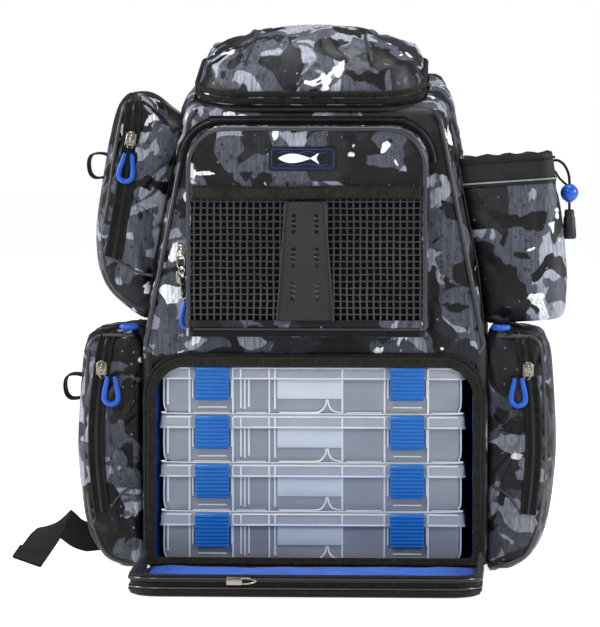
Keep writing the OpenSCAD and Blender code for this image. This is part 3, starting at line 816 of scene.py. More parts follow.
    def place(
        self, finish: Finish, body: str = "root", replaces: Sequence[str] = (), levels: int = 0,
        wall: float = 0, offset: float = -1, sharp: float = 38, closed: bool = True,
        inner: Finish | None = None
    ) -> bpy.types.Object:
        """Makes the piece.

        Args:
            finish: its finish.
            body: the CAD body that it moves with.
            replaces: the CAD nodes that it stands for.
            levels: subdivision levels.
            wall: thickness in millimetres that is given to a sheet.
            offset: which way the thickness goes; -1 is inwards.
            sharp: edges sharper than this, in degrees, stay sharp.
            closed: recalculates the normals to point outwards.
            inner: finish of the inner side of a sheet.

        Returns:
            The piece.
        """
        bmesh.ops.scale(self.bm, verts=self.bm.verts, vec=(MM, MM, MM))
        if closed:
            bmesh.ops.recalc_face_normals(self.bm, faces=self.bm.faces)
        mesh = bpy.data.meshes.new(self.name)
        self.bm.to_mesh(mesh)
        self.bm.free()
        mesh.shade_smooth()
        mesh.set_sharp_from_angle(angle=math.radians(sharp))
        obj = bpy.data.objects.new(self.name, mesh)
        bpy.context.scene.collection.objects.link(obj)
        mesh.materials.append(finish.material())
        if wall:
            mod = obj.modifiers.new("wall", "SOLIDIFY")
            mod.thickness, mod.offset = wall * MM, offset
            if inner is not None:
                mesh.materials.append(inner.material())
                mod.material_offset = 1
        if levels:
            mod = obj.modifiers.new("smooth", "SUBSURF")
            mod.levels = mod.render_levels = levels
        if body:
            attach(obj, body)
        if replaces:
            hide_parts(*replaces)
        return obj


def round_piping(name: str, points: Sequence[Vector], r: float, finish: Finish, body: str = "root") -> None:
    """A round cord of radius r along a smooth line through points."""
    Sculpt(name).sweep(curve(points, 3), round_section(r), vec(0, 1, 0)).place(finish, body)


def flat_strip(
    name: str, path: Sequence[Vector], size: Point, side: Side, finish: Finish, body: str = "root",
    replaces: Sequence[str] = (),
) -> None:
    """A flat strip along a path.

    Args:
        name: its name.
        path: points along its middle.
        size: its width, its thickness and the radius of its edges.
        side: the direction of its width.
        finish: its finish.
        body: the CAD body that it moves with.
        replaces: the CAD nodes that it stands for.
    """
    Sculpt(name).sweep(path, band_section(*size), side).place(finish, body, replaces=replaces)


@dataclass
class Puffed:
    """A piece that the cloth simulation fills out."""

    obj: bpy.types.Object
    cap: float
    rest: np.ndarray = field(default_factory=lambda: np.zeros(0))


class ClothRoom:
    """Runs every cloth simulation together and keeps the result in the meshes."""

    FRAMES = 18

    def __init__(self) -> None:
        """Starts with no pieces."""
        self.pieces: list[Puffed] = []

    def add(
        self, obj: bpy.types.Object, held: Callable[[Vector], float], cap: float = 8, pressure: float = 4,
        slack: float = 0.03, stiff: float = 12
    ) -> bpy.types.Object:
        """Hands a piece in.

        Args:
            obj: the piece.
            held: how firmly a point, in millimetres, is held at its seam: 1 firmly, 0 not.
            cap: how far a point may move, in millimetres.
            pressure: pressure inside.
            slack: how much larger the cloth is than its place.
            stiff: stiffness against stretch.

        Returns:
            The piece.
        """
        group = obj.vertex_groups.new(name="held")
        for v in obj.data.vertices:
            group.add([v.index], max(0.0, min(1.0, held(v.co / MM))), "REPLACE")
        mod = obj.modifiers.new("cloth", "CLOTH")
        obj.modifiers.move(len(obj.modifiers) - 1, 0)
        s = mod.settings
        s.quality, s.mass = 5, 0.25
        s.tension_stiffness = s.compression_stiffness = stiff
        s.shear_stiffness, s.bending_stiffness = 4, 0.25
        s.use_pressure, s.uniform_pressure_force = True, pressure
        s.vertex_group_mass, s.pin_stiffness = "held", 1
        s.shrink_min = s.shrink_max = -slack
        s.effector_weights.gravity = 0
        mod.collision_settings.use_collision = False
        mod.point_cache.frame_start, mod.point_cache.frame_end = 1, self.FRAMES
        rest = np.zeros(len(obj.data.vertices) * 3)
        obj.data.vertices.foreach_get("co", rest)
        self.pieces.append(Puffed(obj, cap * MM, rest.reshape(-1, 3)))
        return obj

    def run(self) -> None:
        """Steps the simulation, caps how far each point moved and writes the meshes."""
        if not self.pieces:
            return
        scene = bpy.context.scene
        for number in range(1, self.FRAMES + 1):
            scene.frame_set(number)
        graph = bpy.context.evaluated_depsgraph_get()
        moved = []
        for piece in self.pieces:
            shown = [m for m in piece.obj.modifiers if m.type != "CLOTH"]
            for m in shown:
                m.show_viewport = False
        graph.update()
        for piece in self.pieces:
            found = np.zeros(len(piece.rest) * 3)
            piece.obj.evaluated_get(graph).data.vertices.foreach_get("co", found)
            moved.append(found.reshape(-1, 3))
        for piece, found in zip(self.pieces, moved):
            step = found - piece.rest
            far = np.linalg.norm(step, axis=1, keepdims=True) + 1e-12
            step *= piece.cap * np.tanh(far / piece.cap) / far
            piece.obj.data.vertices.foreach_set("co", (piece.rest + step).ravel())
            piece.obj.data.update()
            piece.obj.modifiers.remove(piece.obj.modifiers["cloth"])
            for m in piece.obj.modifiers:
                m.show_viewport = True
        scene.frame_set(1)


ROOM = ClothRoom()


def pillow(
    name: str, outline: Sequence[Flat], y0: float, y1: float, edge: float, step: float = 5.0,
    place: Placer = vec, crown: float = 0.0, bow: float = 0.0
) -> Sculpt:
    """A closed, soft-edged form: an outline in the front plane carried from front to back.

    Args:
        name: its name.
        outline: points round the outline.
        y0: its front.
        y1: its back.
        edge: radius of its edges.
        step: size of its faces.
        place: maps its points into the frame.
        crown: how far its front swells.
        bow: how far its sides swell.

    Returns:
        The mesh work.
    """
    ring = even([vec(x, 0, z) for x, z in outline], step, True)
    centre = sum(ring, Vector()) / len(ring)
    radius = sum((p - centre).length for p in ring) / len(ring)
    count = max(4, round(radius / step * 0.8))

    def at(share: float, y: float, out: float = 0.0) -> list[Vector]:
        """A ring at a share of the outline's size, pushed out by out."""
        made = []
        for p in ring:
            d = p - centre
            q = centre + d * share + d.normalized() * out
            made.append(place(q.x, y, q.z))
        return made

    rings = []
    shares = [0.03 + (1 - 0.03) * k / count for k in range(count)]
    inset = 1 - edge / radius
    for s in shares:
        rings.append(at(s * inset, y0 - crown * (1 - s**2.2)))
    for k in range(4):
        a = math.pi / 2 * k / 3
        rings.append(at(inset + (1 - inset) * math.sin(a), y0 + edge * (1 - math.cos(a))))
    walls = max(2, round((y1 - y0 - 2 * edge) / step))
    for k in range(1, walls):
        t = k / walls
        rings.append(at(1, y0 + edge + (y1 - y0 - 2 * edge) * t, bow * math.sin(math.pi * t) ** 0.7))
    for k in range(3, -1, -1):
        a = math.pi / 2 * k / 3
        rings.append(at(inset + (1 - inset) * math.sin(a), y1 - edge * (1 - math.cos(a))))
    for s in reversed(shares):
        rings.append(at(s * inset, y1))
    work = Sculpt(name)
    work.skin(rings)
    return work


# ---- Shell and front panel ---------------------------------------------------------------


@dataclass
class Shell:
    """The padded body: camouflage skin, piping, collar, base and the main room's floor and lining."""

    half_low: float = 157
    half_top: float = 112
    front: float = -104
    back: float = 90
    height: float = 432
    lean_from: float = 200
    corner: float = 10
    back_corner: float = 26
    bay_half: float = 147.1
    bay_z: Flat = (6.2, 188.2)
    hole: tuple[float, float, float, float] = (-107, 95, 226, 396)
    swell: float = 9

    def half(self, z: float) -> float:
        """Half width at a height."""
        return (
            self.half_low
            - max(0, z - self.lean_from) * (self.half_low - self.half_top) / (self.height - self.lean_from)
        )

    def ring(self, z: float, inset: float) -> list[Vector]:
        """Points round the body at a height, from the front's left corner to the right and round the back.

        Args:
            z: the height.
            inset: how far it is drawn in.

        Returns:
            The points.
        """
        w, f, b = self.half(z) - inset, self.front + inset, self.back - inset
        r, q = self.corner, self.back_corner
        span = w - r
        points = [vec(-span + 2 * span * k / 58, f, z) for k in range(59)]
        points += [vec(x, y, z) for x, y in arc(span, f + r, r, -90, 0, 4)[1:]]
        rise = max(0.0, min(1.0, (z - 222) / 60)) * self.swell * (1 - inset / 12)
        side = []
        for k in range(1, 25):
            t = k / 25
            y = f + r + (b - q - f - r) * t
            side.append(
                (w + rise * math.sin(math.pi * min(1, t * 1.15)) ** 0.8 if t < 0.87 else w + rise * 0.2, y)
            )
        points += [vec(x, y, z) for x, y in side]
        points += [vec(x, y, z) for x, y in arc(w - q, b - q, q, 0, 90, 6)]
        points += [vec((w - q) * (1 - 2 * k / 36), b, z) for k in range(1, 36)]
        points += [vec(x, y, z) for x, y in arc(-w + q, b - q, q, 90, 180, 6)]
        points += [vec(-x, y, z) for x, y in reversed(side)]
        points += [vec(x, y, z) for x, y in arc(-span, f + r, r, 180, 270, 4)[:-1]]
        share = max(0.0, min(z, 420) - 370) / 50
        for p in points:
            p.z += 30 * share * min(1.0, max(0.0, (p.y + 104) / 150))
        return points

    def build(self) -> None:
        """Makes the pieces."""
        low, high = self.bay_z
        levels = [(4.6, 3.0), (low, 0)] + [(low + (high - low) * k / 24, 0) for k in range(1, 25)]
        levels += [(high + (408 - high) * k / 36, 0) for k in range(1, 37)]
        levels += [(414, 1.2), (418.4, 4), (420, 8), (420.4, 16), (420.6, 34), (420.6, 60), (420.6, 84)]
        work = Sculpt("shell_cloth")
        rows = work.skin([self.ring(z, inset) for z, inset in levels], caps=False)
        work.bm.faces.new(rows[-1])
        x0, x1, z0, z1 = self.hole
        gone = []
        for face in work.bm.faces:
            c = face.calc_center_median()
            if c.y < self.front + 0.6:
                bay = abs(c.x) < self.bay_half and low - 0.1 < c.z < high
                r = 28
                dx, dz = max(0, abs(c.x - (x0 + x1) / 2) - (x1 - x0) / 2 + r), max(0, c.z - z1 + r)
                arched = x0 < c.x < x1 and z0 < c.z < z1 and math.hypot(dx, dz) < r
                if bay or arched:
                    gone.append(face)
        bmesh.ops.delete(work.bm, geom=gone, context="FACES")
        skin = work.place(CAMO, replaces=["main_shell", "base_panel"], wall=3, inner=NYLON, closed=False)
        ROOM.add(skin, self.held, cap=5, pressure=2.5, slack=0.035)
        self.collar()
        self.base()
        self.piping()
        self.hole_binding()
        self.shelf()

    def held(self, p: Vector) -> float:
        """Holds the skin at its seams, behind the flap and under the side pouches.

        Args:
            p: a point of the cloth.

        Returns:
            1 where it is held, 0 where it is free.
        """
        w = self.half(p.z)
        if p.z < 12 or p.z > 402 or (p.z < 214 and p.y < 60):
            return 1.0
        if p.y < self.front + 2:
            if p.z < 192 or (abs(p.x + 6) < 114 and p.z > 216):
                return 1.0
            return 0.5 if abs(p.x) < w - self.corner - 2 else 1.0
        if p.y > self.back - 2:
            return 0.6
        return 0.25 if abs(p.x) > w - 2 else 1.0

    def collar(self) -> None:
        """The wall that the lid closes on, with a soft floor inside it."""
        outer, inner = LID.plan(0), LID.plan(6)
        count = len(outer)
        wide = even([vec(x, y, 0) for x, y in LID.plan(-5.5)], 1, True, count)
        foot = [LID.world(p.x, max(p.y, 2.0), -8.5) for p in wide]
        lip = [LID.world(x, y, -1.0) for x, y in outer]
        rows = [foot] + [
            [
                a.lerp(b, t) + vec(0, 0, 1.5 * math.sin(math.pi * t)) for a, b in zip(foot, lip)
            ] for t in (0.35, 0.7, 1.0)
        ]
        rows.append([LID.world(x, y, -1.0) for x, y in inner])
        rows.append([LID.world(x, y, -6.5) for x, y in inner])
        Sculpt("lid_collar").skin_of(rows).place(NYLON)

    def base(self) -> None:
        """The moulded base."""
        work = Sculpt("base_mould")
        plan = arch(-150, 150, -119, 91, 24, 6)
        work.prism([(x, y) for x, y in plan], 0.0, 4.4, 1.6, lambda x, y, z: vec(x, z, y))
        for k in range(7):
            work.box((-120, -90 + 26 * k, -0.0), (120, -84 + 26 * k, 0.6), 0.2)
        work.place(RUBBER)

    def piping(self) -> None:
        """Corded piping down the front edges and round the back."""
        for side in (-1, 1):
            front = [vec(side * (self.half(z) - 2.4), self.front + 1.6, z) for z in range(206, 412, 12)]
            front += [vec(side * (self.half(416) - 6), self.front + 3, 417.5)]
            work = Sculpt(f"front_piping_{'left' if side < 0 else 'right'}")
            work.sweep(
                curve([vec(side * 148, self.front - 1.0, 199)] + front), round_section(2.3), vec(0, 1, 0)
            )
            work.place(PIPING)
            edge = [vec(side * (self.half(z) - 7.6), self.back - 7.0, z) for z in range(14, 424, 14)]
            back = Sculpt(f"back_piping_{'left' if side < 0 else 'right'}")
            back.sweep(curve(edge), round_section(2.0), vec(0, 1, 0)).place(NYLON)
            seam = [
                vec(
                    side * (self.half(z) + self.swell * 0.62 * min(1, (z - 212) / 60) - 0.4),
                    self.front + 22, z
                ) for z in range(214, 418, 12)
            ]
            line = Sculpt(f"gusset_seam_{'left' if side < 0 else 'right'}")
            line.sweep(curve(seam), band_section(5, 1.6), vec(0, 1, 0)).place(NYLON)

    def hole_binding(self) -> None:
        """Tape round the opening behind the flap."""
        x0, x1, z0, z1 = self.hole
        path = even([vec(x, self.front - 0.05, z) for x, z in arch(x0, x1, z0, z1, 28, 12)], 5, True)
        work = Sculpt("flap_hole_tape")
        work.sweep(
            path, band_section(13, 0.5, 0.2), lambda i: vec(path[i].x + 6, 0, path[i].z - 311), loop=True
        )
        work.place(BINDING)

    def shelf(self) -> None:
        """The floor of the main room and its lining."""
        work = Sculpt("room_floor")
        work.box(
            (-144, self.front + 5, 189.2), (144, self.back - 6, 193.6), 1.2
        ).place(NYLON, replaces=["stiffener_boards"])
        inner = Sculpt("room_lining")
        rows = [
            [vec(p.x * 0.965, p.y * 0.94 - 2, p.z) for p in self.ring(z, 6)][60:-2]
            for z in range(196, 426, 10)
        ]
        inner.skin(rows, caps=False, ring_closed=False)
        inner.place(LINING, wall=0.6, closed=False)


@dataclass
class LidShape:
    """The lid's own frame: a seam plane that slopes up towards the back."""

    x0: float = -109
    x1: float = 98
    length: float = 154
    radius: float = 46
    slope: float = 11.4
    seam: Flat = (-101.5, 422.5)

    def world(self, x: float, y: float, z: float) -> Vector:
        """A point of the lid's frame in the object's frame."""
        a = math.radians(self.slope)
        return vec(
            x, self.seam[0] + y * math.cos(a) - z * math.sin(a),
            self.seam[1] + y * math.sin(a) + z * math.cos(a)
        )

    def plan(self, inset: float, length: float | None = None, step: float = 5) -> list[Flat]:
        """The outline of the lid from above, at even steps.

        Args:
            inset: how far it is drawn in.
            length: its length, if not the whole.
            step: distance between its points.

        Returns:
            The points.
        """
        end = (self.length if length is None else length) - inset
        r = self.radius - inset
        front = [(x, -y) for x, y in arch(self.x0 + inset, self.x1 - inset, -end, -inset, max(8, r), 8)]
        ring = even([vec(x, y, 0) for x, y in front], step, True)
        return [(p.x, p.y) for p in ring]


LID = LidShape()


@dataclass
class Lid:
    """The domed lid with its bound edge and zip."""

    rise: float = 23
    rim: float = 31
    length: float = 148

    def top(self, x: float, y: float) -> float:
        """Height of the lid over its seam."""
        a = min(1.0, abs(x + 6) / 104)
        b = min(1.0, abs(y - self.length / 2) / (self.length / 2))
        return self.rim + self.rise * (1 - a**2.6) * (1 - b**2.6)

    def build(self) -> None:
        """Makes the pieces."""
        edge = LID.plan(0, self.length)
        cx, cy = -6.0, self.length / 2
        work = Sculpt("lid_cloth")
        rings = []
        for k in range(1, 19):
            s = k / 18 * 0.9
            ring = [(cx + (x - cx) * s, cy + (y - cy) * s) for x, y in edge]
            rings.append(
                [
                    LID.world(
                        x, y, self.top(x / 0.9 + cx * 0.1, cy + (y - cy) / 0.9) - 2.2 * (k / 18) ** 8
                    ) for x,
                    y in ring
                ]
            )
        for grow, z in (
            (0.918, 26.5), (0.935, 22.5), (0.952, 17.5), (0.968, 13), (0.985, 9), (0.996, 5), (1.0, 0.6)
        ):
            rings.append([LID.world(cx + (x - cx) * grow, cy + (y - cy) * grow, z) for x, y in edge])
        work.skin(rings, caps=False)
        work.bm.faces.new(list(work.bm.verts)[: len(edge)])
        # the lid takes the copy painted lighter, as painted light on its top
        skin = work.place(
            CAMO_LID_PAINTED_LIGHT, "lid", replaces=["top_lid"], wall=2.4, inner=NYLON, closed=False, offset=-1
        )
        ROOM.add(skin, self.held, cap=5, pressure=3, slack=0.03)
        self.edge_bands()
        self.seams()

    def held(self, p: Vector) -> float:
        """Holds the lid at its rim and along its two seams.

        Args:
            p: a point of the cloth.

        Returns:
            1 where it is held, 0 where it is free.
        """
        a = math.radians(LID.slope)
        y, z = p.y - LID.seam[0], p.z - LID.seam[1]
        up = -y * math.sin(a) + z * math.cos(a)
        if up < 8:
            return 1.0
        return 0.95 if abs(abs(p.x + 6) - 62) < 4 else 0.1

    def edge_bands(self) -> None:
        """Bound edge, zip coil and the second binding on the shell."""
        bands = (("lid_binding_top", 11.0, 5.2, 3.4), ("lid_binding_low", 4.4, 5.4, 3.0))
        for name, height, width, thick in bands:
            line = [LID.world(x, y, height) for x, y in LID.plan(-0.6, self.length + 0.6, 3)]
            work = Sculpt(name)
            work.sweep(
                line, band_section(width, thick, 1.4), vec(0, -0.2588, 0.9659), loop=True
            ).place(BINDING, "lid")
        front = from_gap([LID.world(x, y, -3.0) for x, y in LID.plan(-2.2, None, 3) if y < 140])
        work = Sculpt("lid_zip_coil")
        work.coil(front, vec(0, -0.2588, 0.9659), 5.0, 3.0, 2.2).place(COIL)
        low = from_gap([LID.world(x, y, -8.6) for x, y in LID.plan(-0.4, None, 3) if y < 146])
        work = Sculpt("collar_binding")
        work.sweep(low, band_section(5.6, 3.4, 1.4), vec(0, -0.2588, 0.9659)).place(BINDING)
        for name, y0, width in (("lid_hinge_cloth", 146.0, 150.0),):
            rows = []
            for k in range(9):
                t = k / 8
                rows.append(
                    [
                        LID.world(
                            -6 - width / 2 + width * j / 12, y0 + 1.2 + 2.2 * math.sin(math.pi * t),
                            7 - 14 * t
                        ) for j in range(13)
                    ]
                )
            flap = Sculpt(name)
            flap.skin(rows, caps=False, ring_closed=False)
            piece = flap.place(NYLON, "", wall=1.2, closed=False)
            LID.world(-6, y0 + 2, 6) * MM
            LID.world(-6, y0 + 2, -6) * MM
            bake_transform(piece)

    def seams(self) -> None:
        """Sewn seams over the lid."""
        for side in (-1, 1):
            line = [
                LID.world(
                    -6 + side * (58 - 8 * math.sin(math.pi * t)), 12 + 124 * t,
                    self.top(-6 + side * 60, 12 + 124 * t) + 0.9
                )
                for t in [k / 16 for k in range(17)]
            ]
            work = Sculpt(f"lid_seam_{'left' if side < 0 else 'right'}")
            work.sweep(curve(line), round_section(1.7), vec(1, 0, 0)).place(PIPING, "lid")


@dataclass
class Bay:
    """The tackle bay: lining, bound opening and its zip."""

    def build(self) -> None:
        """Makes the pieces."""
        lo, hi = node_box("bay_lining")
        work = Sculpt("bay_cloth")
        rows = []
        for k in range(32):
            y = lo.y + (hi.y - lo.y) * k / 31
            ring = even([vec(x, y, z) for x, z in arch(lo.x, hi.x, lo.z, hi.z, 5, 3)], 8, True)
            slope = min(1.0, max(0.0, (y + 104) / 22))
            for p in ring:
                if abs(p.x) > 130:
                    p.x -= math.copysign(3.4 * slope * slope * (3 - 2 * slope), p.x)
                if 0 < k < 31:
                    d = noise.noise(Vector((p.x, p.y * 1.4, p.z)) / 34)
                    p.x -= math.copysign(1.0 * max(0, d), p.x) * (abs(p.x) > 140)
            rows.append(ring)
        made = work.skin(rows, caps=False)
        work.bm.faces.new(made[-1])
        work.place(LINING, replaces=["bay_lining"], wall=0.9, offset=-1, closed=False)
        y = -104.2
        outer = even([vec(x, y - 1.6, z) for x, z in arch(-153.4, 153.4, 6.6, 196.6, 36, 4)], 3, True)
        facing = lambda p, cx=0, cz=100: vec(p.x - cx, 0, (p.z - cz) * 1.6)
        band = Sculpt("opening_binding_cloth")
        band.sweep(outer, band_section(4.4, 3.4, 1.5), lambda i: facing(outer[i]), loop=True)
        band.place(BINDING, replaces=["opening_binding"])
        tape = Sculpt("opening_tape")
        mid = even([vec(x, y - 0.9, z) for x, z in arch(-149.0, 149.0, 7.4, 190.8, 33, 3)], 3, True)
        tape.sweep(mid, band_section(9.6, 1.9, 0.8), lambda i: facing(mid[i]), loop=True).place(ELASTIC)
        inner = [
            p for p in even(
                [vec(x, y - 1.9, z) for x, z in arch(-151.6, 151.6, 8, 194.2, 35, 3)], 3, True
            ) if p.z > 12
        ]
        start = max(range(len(inner)), key=lambda i: (inner[i] - inner[i - 1]).length)
        inner = inner[start:] + inner[:start]
        coil = Sculpt("opening_coil")
        coil.coil(inner, lambda i: facing(inner[min(i, len(inner) - 1)]), 2.6, 1.8, 2.2).place(COIL)


# ---- Front flap --------------------------------------------------------------------------


@dataclass
class Flap:
    """The hinged front pocket: cloth frame, open mesh, elastic band, tool sleeve and badge."""

    x0: float = -115.6
    x1: float = 103.6
    z0: float = 220.4
    z1: float = 405
    face: float = -128
    back: float = -104.6
    window: Colour = (-110.5, 98.5, 226, 340)

    def build(self) -> None:
        """Makes the pieces."""
        outline = even([vec(x, 0, z) for x, z in arch(self.x0, self.x1, self.z0, self.z1, 34, 2)], 4.2, True)
        cx, cz = (self.x0 + self.x1) / 2, 300
        x0, x1, z0, z1 = self.window
        inner = []
        for p in outline:
            d = p - vec(cx, 0, cz)
            grow = min(
                (x1 - cx) / max(1e-6, abs(d.x)), (z1 - cz if d.z > 0 else cz - z0) / max(1e-6, abs(d.z))
            )
            inner.append(vec(cx + d.x * grow, 0, cz + d.z * grow))
        work = Sculpt("flap_cloth")
        rings = []
        for k in range(7):
            t = k / 6
            out = 3.6 * (1 - t)
            rings.append(
                [
                    vec(
                        p.x - math.copysign(out, p.x - cx) * 0.8,
                        self.back + (self.face + 3 - self.back) * t, p.z - (out if p.z > 330 else 0)
                    ) for p in outline
                ][:]
            )
        rings = [
            [
                vec(p.x + math.copysign(2.8 * t, cx - p.x), q.y, p.z - (2.6 * t if p.z > 330 else 0)) for p,
                q in zip(outline, ring)
            ] for ring,
            t in zip(rings, [k / 6 for k in range(7)])
        ]
        top = rings[-1]
        for k in range(0, 12):
            t = k / 11
            row = []
            for p, q in zip(top, inner):
                m = p.lerp(q, t)
                tall = max(0.0, (m.z - 340) / 60)
                m.y = self.face - 1.6 * math.sin(math.pi * t) * min(1, tall) + (0.9 if t == 0 else 0)
                row.append(m)
            rings.append(row)
        rings.append([p + vec(0, 2.4, 0) for p in rings[-1]])
        work.skin(rings, caps=False)
        skin = work.place(
            CAMO_FLAP, "flap", replaces=["front_flap"], wall=1.6, inner=NYLON, closed=False, offset=-1
        )
        ROOM.add(skin, self.held, cap=3.5, pressure=2, slack=0.04)
        self.trim(top)
        self.back_sheet()
        self.grid()
        self.band()
        self.sleeve()
        self.badge()

    def held(self, p: Vector) -> float:
        """Holds the pocket at its piping, its back edge and its window.

        Args:
            p: a point of the cloth.

        Returns:
            1 where it is held, 0 where it is free.
        """
        if p.y > self.back - 3 or abs(p.y - self.face - 2) < 1.6 and p.z < 344:
            return 1.0
        if -46 < p.x < 27 and 358 < p.z < 392 and p.y < self.face + 2:
            return 1.0
        return 0.12 if p.z > 350 and p.y < self.face + 1 else 0.75

    def trim(self, rim: Sequence[Vector]) -> None:
        """Piping round the face and the gusset's bound edge.

        Args:
            rim: the ring of the piping.
        """
        line = [vec(p.x, self.face + 0.9, p.z) for p in from_gap([p for p in rim if p.z > self.z0 + 1])]
        round_piping("flap_piping", line, 2.1, PIPING, "flap")
        edge = [
            vec(x, self.back - 1.2, z) for x,
            z in arch(self.x0 + 1, self.x1 - 1, self.z0 - 40, self.z1 - 1, 33, 2) if z > self.z0 + 3
        ]
        flat_strip("flap_gusset_binding", curve(edge, 4), (1.6, 2.4, 0.5), vec(0, 1, 0), NYLON, "flap")
        for z, name in ((self.z0 + 4.0, "flap_hem_low"), (self.z0 + 1.2, "flap_hem_edge")):
            work = Sculpt(name)
            path = [vec(x, self.face - 0.4, z) for x in np.linspace(-108, 96, 60)]
            work.sweep(path, band_section(2.0, 1.0, 0.4), vec(0, 0, 1)).place(PIPING, "flap")
        hinge = Sculpt("flap_hinge_cloth")
        rows = [
            [
                vec(x, -127 + 1.4 * math.sin(math.pi * t), 221.4 - 6.6 * t)
                for x in np.linspace(self.x0 + 3, self.x1 - 3, 30)
            ] for t in np.linspace(0, 1, 8)
        ]
        hinge.skin(rows, caps=False, ring_closed=False)
        piece = hinge.place(NYLON, "", wall=0.9, closed=False)
        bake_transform(piece)
        sill = Sculpt("flap_sill")
        sill.box((self.x0 + 0.6, -126, 214.4), (self.x1 - 0.6, -104, 219.4), 2.2, segments=3).place(CAMO_FLAP)

    def back_sheet(self) -> None:
        """The cloth seen through the mesh, near black as painted shade inside the pocket, and the pocket's
        back.
        """
        x0, x1, z0, z1 = self.window
        # the first sheet is near black as painted shade inside the pocket
        for name, y, finish, sway in (("pocket_back_painted_shade", -116.5, PIT_PAINTED_SHADE, 5.0), ("flap_back", -107.2, NYLON, 0.6)):
            work = Sculpt(name)
            rows = []
            for z in np.linspace(z0 - 3, z1 + (5 if sway > 1 else 36), 36):
                rows.append(
                    [
                        vec(x, y + sway * noise.noise(vec(x * 1.4, 0, z) / 30), z)
                        for x in np.linspace(x0 - 4, x1 + 4, 50)
                    ]
                )
            work.skin(rows, caps=False, ring_closed=False)
            work.place(finish, "flap", wall=0.8, closed=False)

    def grid(self) -> None:
        """The open mesh: strands both ways, pressed together where they cross."""
        x0, x1, z0, z1 = self.window
        pitch = 6.0

        def sag(x: float, z: float) -> float:
            """How far back the mesh hangs."""
            a = math.sin(math.pi * (x - x0) / (x1 - x0)) * math.sin(math.pi * (z - z0) / (z1 - z0))
            return self.face + 0.8 - 1.2 * a - 1.1 * noise.noise(vec(x, 3, z) / 36)

        work = Sculpt("flap_net")
        for x in np.arange(x0 + 3, x1, pitch):
            path = [
                vec(
                    x + 0.5 * noise.noise(vec(x, 9, z) / 20),
                    sag(x, z) - 0.3 * math.cos(2 * math.pi * (z - z0 - 3) / pitch), z
                )
                for z in np.arange(z0 - 2, z1 + 3, pitch / 2)
            ]
            work.sweep(
                path, [(1.0, 0), (0.6, 0.5), (-0.6, 0.5), (-1.0, 0), (-0.6, -0.5), (0.6, -0.5)],
                vec(1, 0, 0)
            )
        for z in np.arange(z0 + 3, z1, pitch):
            path = [
                vec(
                    x, sag(x, z) + 0.3 * math.cos(2 * math.pi * (x - x0 - 3) / pitch),
                    z + 0.5 * noise.noise(vec(x, 5, z) / 20)
                )
                for x in np.arange(x0 - 2, x1 + 3, pitch / 2)
            ]
            work.sweep(
                path, [(0.8, 0), (0.5, 0.4), (-0.5, 0.4), (-0.8, 0), (-0.5, -0.4), (0.5, -0.4)],
                vec(0, 0, 1)
            )
        # the strands' mid grey is partly painted sheen
        work.place(GRID_PAINTED_SHEEN, "flap", replaces=["flap_mesh"])
        hem = [vec(x, self.face - 0.7, z0 + 0.5) for x in np.linspace(x0, x1, 60)]
        flat_strip("net_hem", hem, (6.5, 1.2, 0.4), vec(0, 0, 1), CAMO_FLAP, "flap")

    def band(self) -> None:
        """The gathered elastic over the mesh's top."""
        lo, hi = node_box("mesh_band")
        work = Sculpt("band_elastic")
        xs = np.arange(lo.x, hi.x + 0.1, 0.75)
        path = [
            vec(
                x, self.face - 1.6 - 0.35 * math.sin(x * 2.9) * (0.6 + 0.4 * math.sin(x / 7)),
                (lo.z + hi.z) / 2 + 0.8 * math.sin(x / 31)
            ) for x in xs
        ]
        work.sweep(path, band_section(12.5, 1.8, 0.6), vec(0, 0, 1)).place(
            ELASTIC, "flap", replaces=["mesh_band"], sharp=70
        )
        for dz in (5.2, -5.2):
            line = [p + vec(0, -1.0, dz) for p in path[::2]]
            Sculpt(
                f"band_stitch_{'top' if dz > 0 else 'low'}"
            ).sweep(line, round_section(0.45, 6), vec(0, 0, 1)).place(NYLON, "flap")

    def sleeve(self) -> None:
        """The moulded sleeve that holds pliers, with six slots bridged by small bars."""
        lo, hi = node_box("tool_sleeve")
        mid = (lo.x + hi.x) / 2
        work = Sculpt("sleeve_plate")
        y = lo.y

        def wide(z: float) -> float:
            """Half width of the sleeve at a height."""
            return 26 - 8 * (z - lo.z) / (hi.z - lo.z)

        slots = [(side * 11, lo.z + 19 + row * 30) for row in range(3) for side in (-1, 1)]
        xs = sorted(
            {
                round(v, 3)
                for v in [-1, 1, 0] + [s * k / 26 for s in (-1, 1) for k in (7.4, 9, 13, 14.6, 19, 23)]
            }
        )
        zs = sorted({lo.z, hi.z, *[z0 + d for _, z0 in slots for d in (-2, 0, 3.6, 14.4, 18, 20)]})
        rows = [
            [
                vec(
                    mid + sx * wide(z) if abs(sx * 26) > 15
                    else mid + sx * 26 * (1 - 0.1 * (z - lo.z) / (hi.z - lo.z)),
                    y + 0.2 + 1.6 * abs(sx) ** 6, z
                ) for sx in xs
            ] for z in zs
        ]
        verts = [[work.bm.verts.new(p) for p in row] for row in rows]
        for i in range(len(zs) - 1):
            for k in range(len(xs) - 1):
                zc, xc = (zs[i] + zs[i + 1]) / 2, (xs[k] + xs[k + 1]) / 2 * 26
                if any(z0 < zc < z0 + 18 and abs(xc - sx) < 2.4 for sx, z0 in slots):
                    continue
                work.bm.faces.new((verts[i][k], verts[i][k + 1], verts[i + 1][k + 1], verts[i + 1][k]))
        plate = work.place(
            SLEEVE, "flap", replaces=["tool_sleeve"], wall=2.0, offset=-1, closed=False, levels=2, sharp=180
        )
        if plate.data.polygons[0].normal.y > 0:
            plate.data.flip_normals()
        rungs = Sculpt("sleeve_rungs")
        for sx, z0 in slots:
            for k in range(3):
                rungs.box(
                    (mid + sx * 0.95 - 3.2, y + 0.8, z0 + 4 + k * 4.6),
                    (mid + sx * 0.95 + 3.2, y + 1.9, z0 + 5.5 + k * 4.6), 0.4
                )
        rungs.box((mid - 20, y + 4.4, lo.z + 4), (mid + 20, y + 5.0, hi.z - 3), 0.2)
